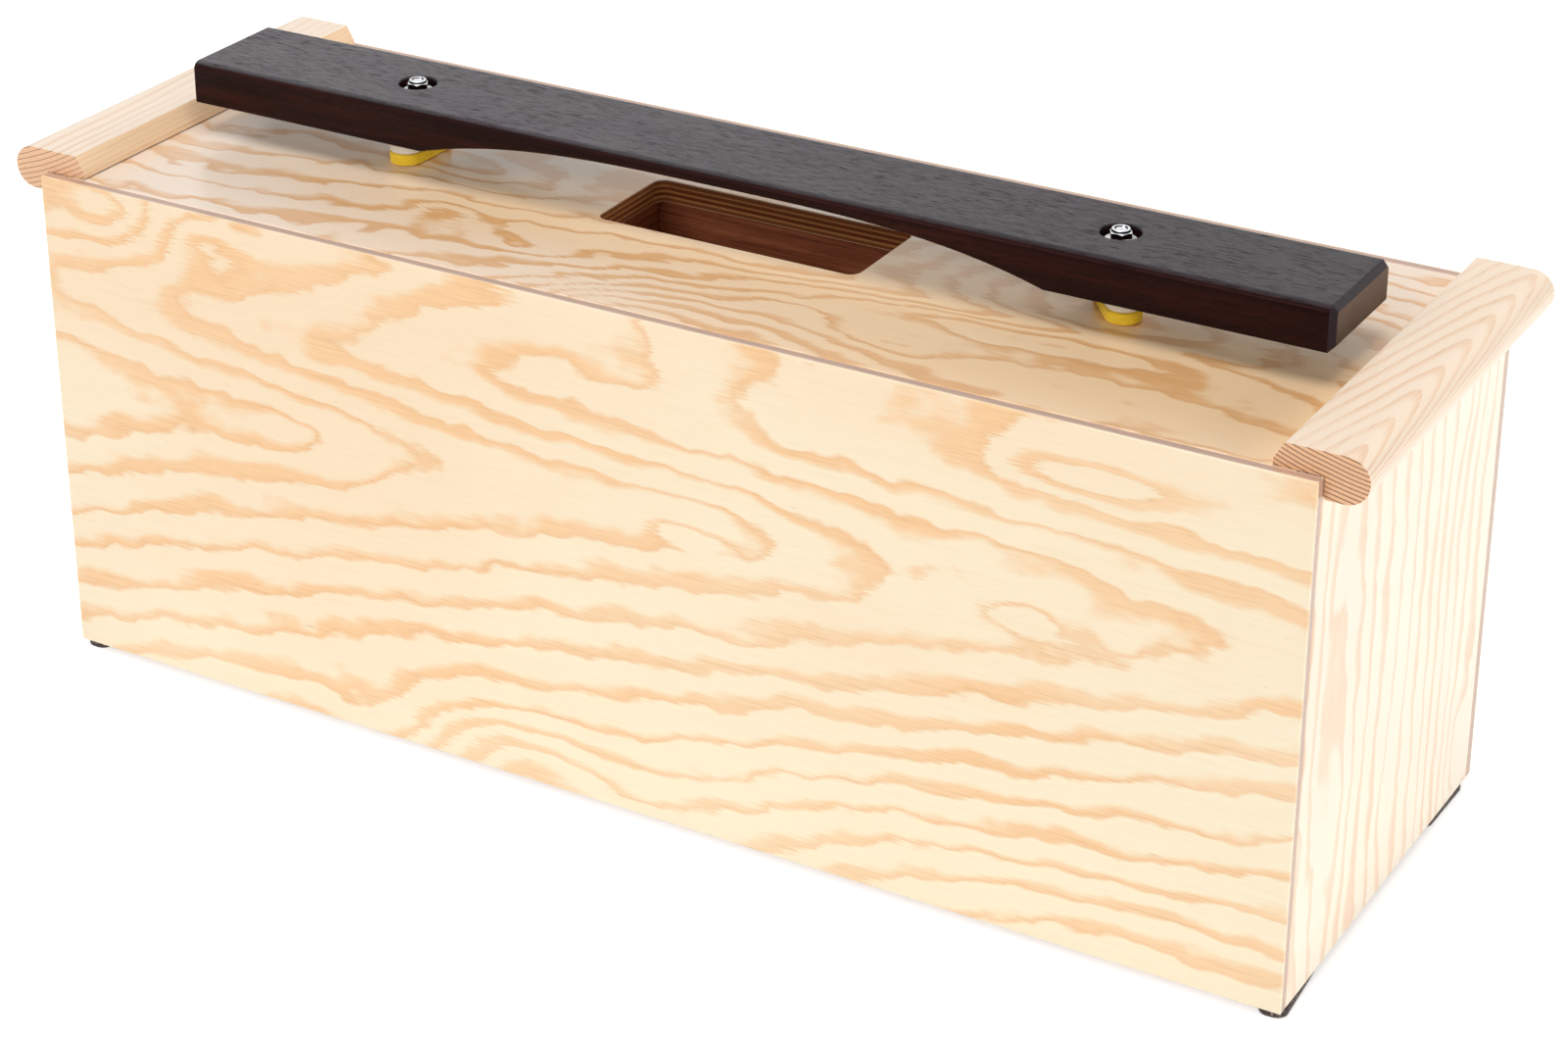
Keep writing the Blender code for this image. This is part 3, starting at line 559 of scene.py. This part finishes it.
def stadium(length_x, length_y, radius, count):
    """Outline of a rectangle with round corners, walked at even steps of arc length from +X."""
    half_x = length_x / 2 - radius
    half_y = length_y / 2 - radius
    runs = np.array([half_y, radius * math.pi / 2, 2 * half_x, radius * math.pi / 2, 2 * half_y,
                     radius * math.pi / 2, 2 * half_x, radius * math.pi / 2, half_y])
    marks = np.concatenate([[0.0], np.cumsum(runs)])
    walk = np.linspace(0.0, marks[-1], count, endpoint=False)
    which = np.clip(np.searchsorted(marks, walk, "right") - 1, 0, 8)
    done = walk - marks[which]
    corner_x = np.array([1, 1, 1, -1, -1, -1, -1, 1, 1])[which] * half_x
    corner_y = np.array([0, 1, 1, 1, 1, -1, -1, -1, -1])[which] * half_y
    step_x = np.array([0, 0, -1, 0, 0, 0, 1, 0, 0])[which] * done
    step_y = np.array([1, 0, 0, 0, -1, 0, 0, 0, 1])[which] * done
    turned = np.array([0, 0, 90, 90, 180, 180, 270, 270, 360])[which] * math.pi / 180
    turned = turned + np.where(which % 2 == 1, done / radius, 0.0)
    return np.stack([corner_x + step_x + radius * np.cos(turned),
                     corner_y + step_y + radius * np.sin(turned)], 1)


def turned_about(points, degrees, centre):
    """Rotate the points in plan about their own origin, then carry them to the centre."""
    swing = math.radians(degrees)
    moved = points.copy()
    moved[..., 0] = points[..., 0] * math.cos(swing) - points[..., 1] * math.sin(swing) + centre[0]
    moved[..., 1] = points[..., 0] * math.sin(swing) + points[..., 1] * math.cos(swing) + centre[1]
    return moved


def skin(name, points, closed_section, material, smooth_under=40.0):
    """Put a grid of points into a mesh: round the outline always, round the section if closed."""
    rows, columns = points.shape[:2]
    index = np.arange(rows * columns).reshape(rows, columns)
    below = np.roll(index, -1, 0) if closed_section else index[1:]
    above = index if closed_section else index[:-1]
    faces = np.stack([above, below, np.roll(below, -1, 1), np.roll(above, -1, 1)], -1)
    mesh = bpy.data.meshes.new(name)
    mesh.from_pydata(points.reshape(-1, 3).tolist(), [], faces.reshape(-1, 4).tolist())
    joined = bmesh.new()
    joined.from_mesh(mesh)
    bmesh.ops.remove_doubles(joined, verts=joined.verts, dist=1e-7)
    bmesh.ops.recalc_face_normals(joined, faces=joined.faces)
    joined.to_mesh(mesh)
    joined.free()
    mesh.shade_smooth()
    mesh.set_sharp_from_angle(angle=math.radians(smooth_under))
    mesh.materials.append(material)
    piece = bpy.data.objects.new(name, mesh)
    bpy.context.scene.collection.objects.link(piece)
    return piece


def felt(name, tones, fleck=None):
    """Pressed felt: two crossed sets of stretched noise lie like fibres, with flecks if given."""
    finish = Finish(name, 0.92)
    one = finish.noise((2600.0, 700.0, 1500.0), (0.3, 0.1, 0.7), 3.0, 0.7, (0.0, 0.0, 0.6))
    other = finish.noise((700.0, 2400.0, 1500.0), (1.3, 2.1, 0.2), 3.0, 0.7, (0.0, 0.0, 0.4))
    fibres = finish.times(finish.plus(one, other), 0.5)
    colour = finish.steps(fibres, [(0.36, tones[0]), (0.52, tones[1]), (0.66, tones[2])])
    if fleck:
        spots = finish.noise((520.0, 520.0, 520.0), (7.0, 7.0, 7.0), 2.0, 0.6)
        colour = finish.mix(finish.between(spots, 0.56, 0.66), colour, fleck)
    finish.colour(colour)
    finish.relief(fibres, depth=0.0005)
    finish.set(Sheen_Weight=0.1, Sheen_Roughness=0.6)
    return finish.material


grey_felt = felt(
    "grey_felt", (paint(40, 33, 30), paint(74, 64, 60), paint(112, 98, 92)), paint(158, 138, 130))
FOOT_TURN = {"front_left": -1.0, "front_right": 4.0, "back_left": 1.5, "back_right": -1.0}
FOOT_EDGE = 0.0007
foot_outline = stadium(length_x=0.014, length_y=0.048, radius=0.0055, count=96)
for corner, turn in FOOT_TURN.items():
    low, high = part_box(corner + "_foot")
    grid = felt_grid(foot_outline, 0.0, low.z, high.z, FOOT_EDGE, 0.0)
    grid = turned_about(grid, turn, ((low.x + high.x) / 2, (low.y + high.y) / 2))
    foot = skin(corner + "_felt_foot", grid, False, grey_felt)
    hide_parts(corner + "_foot")
    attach(foot, "case")


# The sound bar is one piece of dark rosewood, hollowed below to tune it, sanded and waxed.
# Its top is almost black with open pores along the grain; its grey colour is partly a painted sheen,
# which fades towards the right end. Its sides show the red-brown heart.
bar_low, bar_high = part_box("sound_bar")
BAR_TOP_ROUND = 0.0042
BAR_LOW_ROUND = 0.0010
LEFT_CHAMFER = 0.0006
RIGHT_CHAMFER = 0.0030
ARCH_SPAN = 0.351
ARCH_RISE = 0.0159
ARCH_POWER = 3.3
BORE_RADIUS = 0.010
BORE_CHAMFER = 0.0005
BORE_X = (-0.199, 0.199)
BORE_COLUMNS = 96
CUTTER_OVERRUN = 0.002
PAST_ARCH = 0.003
BEFORE_END = 0.006
BAR_SHARP = 30.0
TOP_TONE_AND_SHEEN_STARTS = 0.0016
TOP_TONE_AND_SHEEN_FULL = 0.0003
# A hair keeps the test for a face clear of the rounding in the face's own place.
HAIR = 0.00002


def bar_section(half, low, high, top_round, low_round):
    """Closed sections of the bar: flats joined by quarter rounds, from the middle of the top.

    The five sizes are columns over the stations. The half towards +Y is worked out as shares of
    its flats and sines of its rounds, and the other half is its mirror image.
    """
    flat = np.array([[0.0, 0.4, 0.8, 0.985]])
    side = np.array([[0.04, 0.5, 0.96]])
    turn = np.linspace(0.0, math.pi / 2, 9)[None, :]
    y = np.concatenate([
        flat * (half - top_round), half - top_round + top_round * np.sin(turn), half + 0 * side,
        half - low_round + low_round * np.cos(turn), (half - low_round) * flat[:, ::-1],
    ], 1)
    z = np.concatenate([
        high + 0 * flat, high - top_round + top_round * np.cos(turn),
        high - top_round - side * (high - top_round - low - low_round),
        low + low_round - low_round * np.sin(turn), low + 0 * flat,
    ], 1)
    return np.concatenate([y, -y[:, -2:0:-1]], 1), np.concatenate([z, z[:, -2:0:-1]], 1)


def bar_grid():
    """The bar by station along it and place round its section.

    Inside the arch the underside stands rise * (1 - |2x / span| ** power) above the ends. The
    section is drawn in by the chamfer at each end, where its rounds shrink too, and then shrinks to
    a point to close the end.
    """
    reach = bar_high.x
    inside = np.concatenate([
        np.linspace(0.0, ARCH_SPAN / 2, 40),
        np.linspace(ARCH_SPAN / 2 + PAST_ARCH, reach - BEFORE_END, 22)])
    stations = np.concatenate([
        [-reach, LEFT_CHAMFER - reach], -inside[::-1], inside[1:], [reach - RIGHT_CHAMFER, reach],
    ])[:, None]
    drawn_in = LEFT_CHAMFER * (stations == -reach) + RIGHT_CHAMFER * (stations == reach)
    hollow = ARCH_RISE * np.maximum(1 - np.abs(2 * stations / ARCH_SPAN) ** ARCH_POWER, 0.0)
    y, z = bar_section(
        bar_high.y - drawn_in, bar_low.z + hollow + drawn_in, bar_high.z - drawn_in,
        BAR_TOP_ROUND - 0.9 * drawn_in, BAR_LOW_ROUND - 0.2 * drawn_in)
    body = np.stack([stations + 0 * y, y, z], -1)
    middle = np.array([0.0, 0.0, (bar_low.z + bar_high.z) / 2])
    shrink = np.array([0.0, 0.5, 0.97])[:, None, None]
    caps = []
    for end in (body[:1], body[-1:]):
        heart = middle + np.array([end[0, 0, 0], 0.0, 0.0])
        caps.append(heart + shrink * (end - heart))
    return np.concatenate([caps[0], body, caps[1][::-1]])


def turned_rows(profile, columns):
    """Points round the Z axis, a row for each (radius, height) of a profile.

    A radius or height is one number, as on a lathe, or an array with a value for each column.
    """
    angle = np.linspace(0.0, 2 * math.pi, columns, endpoint=False)
    radii = np.stack([np.broadcast_to(radius, columns) for radius, height in profile])
    heights = np.stack([np.broadcast_to(height, columns) for radius, height in profile])
    return np.stack([radii * np.cos(angle), radii * np.sin(angle), heights], -1)


def set_on(points, x):
    """The same points, carried along the bar to x."""
    moved = points.copy()
    moved[..., 0] += x
    return moved


def rosewood(name):
    """Dark heartwood: streaks drawn out along the bar, and short pores that are dull and sunk."""
    finish = Finish(name, 0.32)
    along = finish.axes[0]
    streak = finish.noise((9.0, 160.0, 160.0), (2.0, 0.0, 1.0), 4.0, 0.6)
    cloud = finish.noise((12.0, 26.0, 26.0), (4.0, 2.0, 9.0), 2.0)
    side_tone = finish.steps(streak, [
        (0.30, paint(16, 5, 4)), (0.50, paint(28, 10, 7)), (0.68, paint(46, 18, 13)),
    ])
    # The top's grey is partly the wood's own dark tone and partly a painted sheen.
    top_tone = finish.steps(streak, [
        (0.30, paint(67, 66, 69)), (0.55, paint(78, 75, 79)), (0.72, paint(88, 84, 88)),
    ])
    purple = finish.times(finish.between(cloud, 0.45, 0.62), 0.4)
    top_tone = finish.mix(purple, top_tone, paint(76, 62, 72))
    # Painted sheen: the top's grey fades darker towards the right end.
    darker = finish.mix(finish.between(along, -0.30, 0.30), (1.0,) * 4, (0.46, 0.44, 0.46, 1.0))
    top_tone = finish.mix(1.0, top_tone, darker, "MULTIPLY")
    # The top tone, with its painted sheen, comes in over the rounded arris.
    upper = finish.between(
        finish.axes[2], bar_high.z - TOP_TONE_AND_SHEEN_STARTS, bar_high.z - TOP_TONE_AND_SHEEN_FULL)
    colour = finish.mix(upper, side_tone, top_tone)
    low_down = finish.between(finish.axes[2], bar_low.z, bar_high.z)
    cut_tone = finish.mix(low_down, paint(42, 24, 18), paint(76, 49, 36))
    rays = finish.noise((300.0, 1100.0, 240.0), (5.0, 1.0, 2.0), 3.0, 0.6)
    rays = finish.steps(rays, [(0.35, (0.6,) * 3), (0.6, (1.0,) * 3)])
    cut_tone = finish.mix(0.7, cut_tone, rays, "MULTIPLY")
    chamfered = finish.plus(
        finish.maths("GREATER_THAN", along, bar_high.x - RIGHT_CHAMFER + HAIR),
        finish.maths("LESS_THAN", along, LEFT_CHAMFER - bar_high.x - HAIR))
    colour = finish.mix(chamfered, colour, paint(44, 37, 40))
    end_face = finish.maths(
        "GREATER_THAN", finish.maths("ABSOLUTE", along), bar_high.x - 2 * HAIR)
    colour = finish.mix(end_face, colour, cut_tone)
    pores = finish.noise((110.0, 2100.0, 2100.0), (0.0, 5.0, 0.0), 2.0, 0.55)
    patch = finish.noise((22.0, 60.0, 60.0), (8.0, 0.0, 3.0), 2.0)
    edge = finish.plus(0.35, finish.times(patch, 0.10))
    open_pore = finish.between(finish.plus(edge, finish.times(pores, -1.0)), -0.03, 0.03)
    finish.colour(finish.mix(finish.times(open_pore, 0.7), colour, paint(12, 7, 7)))
    finish.feed(finish.shader.inputs["Roughness"], finish.maths("MULTIPLY_ADD", open_pore, 0.30, 0.31))
    finish.relief(finish.times(open_pore, -1.0), depth=0.00010)
    finish.set(Specular_IOR_Level=0.5, Specular_Tint=(0.14, 0.06, 0.06, 1.0))
    return finish.material


bar_wood = rosewood("waxed_rosewood")
bar = skin("dark_sound_bar", bar_grid(), False, bar_wood, BAR_SHARP)
cutters = []
for x in BORE_X:
    wide = BORE_RADIUS + BORE_CHAMFER + CUTTER_OVERRUN
    cutter = skin("bore_cutter", set_on(turned_rows([
        (0.0, bar_low.z - CUTTER_OVERRUN), (wide, bar_low.z - CUTTER_OVERRUN),
        (BORE_RADIUS, bar_low.z + BORE_CHAMFER), (BORE_RADIUS, bar_high.z - BORE_CHAMFER),
        (wide, bar_high.z + CUTTER_OVERRUN), (0.0, bar_high.z + CUTTER_OVERRUN),
    ], BORE_COLUMNS), x), False, bar_wood)
    cut = bar.modifiers.new("bore", "BOOLEAN")
    cut.operation = "DIFFERENCE"
    cut.solver = "EXACT"
    cut.object = cutter
    cutters.append(cutter)
bpy.context.view_layer.update()
bored = bpy.data.meshes.new_from_object(bar.evaluated_get(bpy.context.evaluated_depsgraph_get()))
bar.modifiers.clear()
bar.data = bored
bored.shade_smooth()
bored.set_sharp_from_angle(angle=math.radians(BAR_SHARP))
for cutter in cutters:
    bpy.data.objects.remove(cutter, do_unlink=True)
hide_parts("sound_bar")
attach(bar, "bar")


# Each post is an M6 bolt up through the top plate, with a washer under it, a white nylon sleeve over
# it and a self-locking nut that clamps the sleeve's flange. All steel is bright zinc plate.
HOLE_RADIUS = 0.0033
CORNER_CONE = math.radians(30)
EDGE_BREAK = 0.0002
COLUMNS = 96
HEAD_FLATS = 0.010
HEAD_FACE = 0.97
HEAD_HEIGHT = 0.004
BOLT_RADIUS = 0.003
BOLT_COLUMNS = 64
NECK_ROUND = 0.0004
THREAD_LENGTH = 0.016
THREAD_STOP = 0.0006
THREAD_PITCH = 0.001
THREAD_DEPTH = 0.0005
LAST_GROOVE = (0.0012, 0.0001)
NUT_FLATS = 0.010
NUT_FACE = 0.98
NUT_HEX_HEIGHT = 0.0037
NUT_BREAK = 0.0003
COLLAR_RADIUS = 0.0044
COLLAR_FILLET = ((0.0002, 0.0001), (0.0, 0.0003))
COLLAR_GROOVE = (0.00005, 0.0007)
COLLAR_ROUND = 0.0003
COLLAR_LIP = 0.0012
COLLAR_WALL = 0.0007
INSERT_DEPTH = 0.0022
INSERT_BORE = 0.0031
INSERT_RADIUS = 0.0036
INSERT_SINK = 0.0004
SLEEVE_RADIUS = 0.0050
# The sleeve's outline from its shank over the flange, as (radius, depth below the top).
FLANGE_PROFILE = (
    (SLEEVE_RADIUS, 0.0044), (0.0056, 0.0034), (0.0076, 0.0016), (0.0080, 0.0013),
    (0.0080, 0.0004), (0.0076, 0.0),
)
WASHER_RADIUS = 0.0060
WASHER_ROUND = 0.0003


def hexagon(flats, face_share, columns):
    """A hexagon's reach from the axis at each angle, its face's radius, and its corners' drop.

    Its flats face along Y: the reach is half the flats over the cosine of the angle from the middle
    of the nearest flat. The face is a disc that measures a share of the flats, and outside it a 30
    degree cone turns off the corners.
    """
    angle = np.linspace(0.0, 2 * math.pi, columns, endpoint=False)
    reach = flats / 2 / np.cos((angle % (math.pi / 3)) - math.pi / 6)
    face = flats / 2 * face_share
    return reach, face, np.maximum(reach - face, 0.0) * math.tan(CORNER_CONE)


def lock_nut_rows(base, height):
    """Self-locking nut: a hexagon, then a round collar whose lip holds the insert."""
    reach, face, drop = hexagon(NUT_FLATS, NUT_FACE, COLUMNS)
    rim = base + NUT_HEX_HEIGHT
    top = base + height
    turn = np.linspace(0.0, math.pi / 2, 6)
    return turned_rows([
        (HOLE_RADIUS + NUT_BREAK, base), (face, base), (reach, base + drop), (reach, rim - drop),
        (face, rim), *[(COLLAR_RADIUS + out, rim + up) for out, up in COLLAR_FILLET],
        *zip(COLLAR_RADIUS - COLLAR_ROUND * (1 - np.cos(turn)),
             top - COLLAR_ROUND * (1 - np.sin(turn))),
        (COLLAR_RADIUS - COLLAR_LIP, top), (COLLAR_RADIUS - COLLAR_LIP, top - COLLAR_ROUND),
        (COLLAR_RADIUS - COLLAR_WALL, top - COLLAR_ROUND),
        (COLLAR_RADIUS - COLLAR_WALL, top - INSERT_DEPTH), (HOLE_RADIUS, top - INSERT_DEPTH),
        (HOLE_RADIUS, base + NUT_BREAK),
    ], COLUMNS)


def bolt_rows(base, top):
    """Bolt from its head's lower face up: hexagon head, plain shank, then a rolled thread.

    The thread's radius is the bolt's less depth * fade * |2 * phase - 1|. The phase is the part of
    height / pitch - turn past a whole number, and the fade grows from 0 to 1 over two pitches.
    """
    reach, face, drop = hexagon(HEAD_FLATS, HEAD_FACE, BOLT_COLUMNS)
    shoulder = base + HEAD_HEIGHT
    start = top - THREAD_LENGTH
    rise = np.arange(start, top - THREAD_STOP, THREAD_PITCH / 8)
    turn = np.linspace(0.0, 1.0, BOLT_COLUMNS, endpoint=False)
    phase = (rise[:, None] / THREAD_PITCH - turn[None, :]) % 1.0
    fade = np.clip((rise[:, None] - start) / (2 * THREAD_PITCH), 0.0, 1.0)
    thread = BOLT_RADIUS - THREAD_DEPTH * fade * np.abs(2 * phase - 1)
    return turned_rows([
        (0.0, base), (face, base), (reach, base + drop), (reach, shoulder),
        (BOLT_RADIUS + NECK_ROUND, shoulder), (BOLT_RADIUS, shoulder + NECK_ROUND),
        *zip(thread, rise), (BOLT_RADIUS - THREAD_DEPTH, top), (0.0, top),
    ], BOLT_COLUMNS)


def moulded(name, tone, dark):
    """Moulded nylon, slightly cloudy, and a little darker where the noise is low."""
    finish = Finish(name, 0.42)
    cloud = finish.noise((240.0, 240.0, 240.0), detail=3.0)
    finish.colour(finish.steps(cloud, [(0.3, dark), (0.7, tone)]))
    finish.relief(cloud, depth=0.00003)
    return finish.material


# The bolt's last groove and the groove at the nut's collar foot are painted dark as shade.
bolt_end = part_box("left_post_bolt")[1].z
bolt_zinc = plated(
    "bolt_zinc", paint(240, 241, 244), 0.10,
    crease=(bolt_end - LAST_GROOVE[0], bolt_end - LAST_GROOVE[1]))
collar_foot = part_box("left_lock_nut")[0].z + NUT_HEX_HEIGHT
nut_zinc = plated(
    "nut_zinc", paint(244, 245, 247), 0.10,
    crease=(collar_foot + COLLAR_GROOVE[0], collar_foot + COLLAR_GROOVE[1]))
nylon = moulded("white_nylon", paint(240, 240, 236), paint(222, 222, 216))
insert_nylon = moulded("insert_nylon", paint(50, 51, 55), paint(36, 37, 40))
for side in ("left", "right"):
    bolt_low, bolt_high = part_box(side + "_post_bolt")
    nut_low, nut_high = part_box(side + "_lock_nut")
    sleeve_low, sleeve_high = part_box(side + "_post_sleeve")
    washer_low, washer_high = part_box(side + "_post_washer")
    insert_low, insert_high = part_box(side + "_nut_insert")
    x = (bolt_low.x + bolt_high.x) / 2
    bolt = skin(
        side + "_bolt", set_on(bolt_rows(bolt_low.z, bolt_high.z), x), False, bolt_zinc)
    nut = skin(
        side + "_nut", set_on(lock_nut_rows(nut_low.z, nut_high.z - nut_low.z), x), True, nut_zinc,
        smooth_under=25.0)
    sleeve = skin(side + "_sleeve", set_on(turned_rows([
        (HOLE_RADIUS, sleeve_low.z), (SLEEVE_RADIUS - EDGE_BREAK, sleeve_low.z),
        (SLEEVE_RADIUS, sleeve_low.z + EDGE_BREAK),
        *[(radius, sleeve_high.z - below) for radius, below in FLANGE_PROFILE],
        (HOLE_RADIUS, sleeve_high.z),
    ], COLUMNS), x), True, nylon)
    washer = skin(side + "_washer", set_on(turned_rows([
        (HOLE_RADIUS, washer_low.z), (WASHER_RADIUS - EDGE_BREAK, washer_low.z),
        (WASHER_RADIUS, washer_low.z + EDGE_BREAK), (WASHER_RADIUS, washer_high.z - WASHER_ROUND),
        (WASHER_RADIUS - WASHER_ROUND, washer_high.z), (HOLE_RADIUS, washer_high.z),
    ], COLUMNS), x), True, zinc)
    insert_top = insert_high.z - INSERT_SINK
    insert = skin(side + "_insert", set_on(turned_rows([
        (INSERT_BORE, insert_low.z), (INSERT_RADIUS, insert_low.z), (INSERT_RADIUS, insert_top),
        (INSERT_BORE, insert_top),
    ], COLUMNS), x), True, insert_nylon)
    for piece, node, slot in (
        (bolt, "_post_bolt", "zinc_steel"), (nut, "_lock_nut", "zinc_steel"),
        (sleeve, "_post_sleeve", "white_nylon"), (washer, "_post_washer", "zinc_steel"),
        (insert, "_nut_insert", "white_nylon"),
    ):
        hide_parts(side + node)
        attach(piece, "case")


# Two pads of pressed felt lie on each other over every sleeve and carry the bar: a yellow one below
# and a thicker off-white one above, cut to one outline and turned together by hand.
yellow_felt = felt("yellow_felt", (paint(238, 184, 20), paint(255, 216, 44), paint(255, 228, 74)))
white_felt = felt("white_felt", (paint(222, 218, 204), paint(246, 243, 232), paint(254, 252, 244)))
PAD_TURN = {"left": -2.0, "right": 38.0}
PAD_WIDTH = 0.0178
PAD_LENGTH = 0.041
PAD_BORE = 0.0053
PAD_COLUMNS = 120
# The pad's ends are round but for the least flat, which leaves no run of the outline empty.
LEAST_FLAT = 0.000001
pad_outline = stadium(PAD_WIDTH, PAD_LENGTH, PAD_WIDTH / 2 - LEAST_FLAT, PAD_COLUMNS)
for side, turn in PAD_TURN.items():
    for layer, material, slot, edge, swell in (
        ("lower", yellow_felt, "yellow_felt", 0.0010, 0.0),
        ("upper", white_felt, "white_felt", 0.0014, 0.0003),
    ):
        node = side + "_" + layer + "_pad"
        low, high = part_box(node)
        grid = felt_grid(pad_outline, PAD_BORE, low.z, high.z, edge, swell)
        grid = turned_about(grid, turn, ((low.x + high.x) / 2, 0.0))
        pad = skin(side + "_" + layer + "_felt_pad", grid, True, material)
        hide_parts(node)
        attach(pad, side + "_pad")


# The studio: a pale sweep of paper under soft lamps, and a long lens from the front right.
# The paper shows white to the camera and in reflections but still keeps the case's shadow.
# The lamps at the sides and the back give no highlights, which would glare in the lacquer.
PAPER_GLOW = 0.54
SKY_GLOW = 0.15


def paper(name):
    """Matt paper with faint tooth; towards the camera and in gloss it also glows a little."""
    finish = Finish(name, 0.9)
    tooth = finish.noise((300.0, 300.0, 300.0))
    finish.colour(finish.steps(tooth, [(0.0, paint(236, 235, 233)), (1.0, paint(244, 243, 241))]))
    seen = finish.tree.nodes.new("ShaderNodeLightPath").outputs
    glow = finish.maths("MAXIMUM", seen["Is Camera Ray"], seen["Is Glossy Ray"])
    glow = finish.maths("MAXIMUM", glow, seen["Is Transmission Ray"])
    finish.shader.inputs["Emission Color"].default_value = (1.0, 1.0, 1.0, 1.0)
    finish.feed(finish.shader.inputs["Emission Strength"], finish.times(glow, PAPER_GLOW))
    return finish.material


def sweep(name, half_width, near, bend, far, rise):
    """Floor that curves up at the back: height = rise * (share past the bend) squared."""
    across = np.linspace(-half_width, half_width, 25)
    deep = np.linspace(near, far, 61)
    grid_x, grid_y = np.meshgrid(across, deep)
    past = np.clip((grid_y - bend) / (far - bend), 0.0, 1.0)
    height = rise * past ** 2
    points = np.stack([grid_x, grid_y, height], -1)
    index = np.arange(points.shape[0] * points.shape[1]).reshape(points.shape[:2])
    faces = np.stack([index[:-1, :-1], index[:-1, 1:], index[1:, 1:], index[1:, :-1]], -1)
    mesh = bpy.data.meshes.new(name)
    mesh.from_pydata(points.reshape(-1, 3).tolist(), [], faces.reshape(-1, 4).tolist())
    mesh.shade_smooth()
    mesh.materials.append(paper(name + "_paper"))
    floor = bpy.data.objects.new(name, mesh)
    bpy.context.scene.collection.objects.link(floor)
    return floor


sweep("studio_floor", half_width=9.0, near=-9.0, bend=3.0, far=9.0, rise=3.0)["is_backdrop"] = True

world = bpy.data.worlds.new("studio")
bpy.context.scene.world = world
world.use_nodes = True
backdrop = world.node_tree.nodes["Background"]
backdrop.inputs["Color"].default_value = (1.0, 1.0, 1.0, 1.0)
rays = world.node_tree.nodes.new("ShaderNodeLightPath")
shown = world.node_tree.nodes.new("ShaderNodeMapRange")
seen_by = rays.outputs["Is Camera Ray"]
for ray in ("Is Glossy Ray", "Is Transmission Ray"):
    either = world.node_tree.nodes.new("ShaderNodeMath")
    either.operation = "MAXIMUM"
    world.node_tree.links.new(seen_by, either.inputs[0])
    world.node_tree.links.new(rays.outputs[ray], either.inputs[1])
    seen_by = either.outputs[0]
world.node_tree.links.new(seen_by, shown.inputs["Value"])
shown.inputs["To Min"].default_value = SKY_GLOW
shown.inputs["To Max"].default_value = 1.0
world.node_tree.links.new(shown.outputs["Result"], backdrop.inputs["Strength"])


def soft_lamp(name, place, target, width, height, power, mirrored=True):
    """A rectangular softbox aimed at a point; one that isn't mirrored gives no highlights."""
    light = bpy.data.lights.new(name, "AREA")
    light.shape = "RECTANGLE"
    light.size = width
    light.size_y = height
    light.energy = power
    lamp = bpy.data.objects.new(name, light)
    lamp.location = place
    lamp.rotation_euler = (Vector(target) - Vector(place)).to_track_quat("-Z", "Y").to_euler()
    lamp.visible_glossy = mirrored
    bpy.context.scene.collection.objects.link(lamp)


soft_lamp("front_softbox", (-0.6, -2.5, 1.75), (0.0, 0.0, 0.15), 1.8, 1.0, 34.0)
soft_lamp("right_softbox", (2.8, -0.5, 0.6), (0.1, 0.0, 0.12), 1.4, 0.9, 33.0, mirrored=False)
soft_lamp("left_softbox", (-2.8, -0.3, 0.6), (-0.1, 0.0, 0.12), 1.4, 0.9, 16.0, mirrored=False)
soft_lamp("top_softbox", (0.0, -0.45, 2.3), (0.0, 0.0, 0.20), 1.6, 1.2, 24.0)
soft_lamp("back_softbox", (0.2, 2.1, 0.95), (0.0, 0.0, 0.20), 0.8, 0.6, 24.0, mirrored=False)

lens = bpy.data.cameras.new("studio_camera")
lens.sensor_width = 36.0
lens.lens = 82.672
lens.shift_x = 0.02262
lens.shift_y = -0.09201
camera = bpy.data.objects.new("studio_camera", lens)
camera.location = (0.83415, -1.41812, 0.95525)
camera.rotation_euler = [math.radians(turn) for turn in (65.1148, 0.1382, 30.4563)]
bpy.context.scene.collection.objects.link(camera)
bpy.context.scene.camera = camera
bpy.context.scene.view_settings.view_transform = "Standard"

low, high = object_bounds()
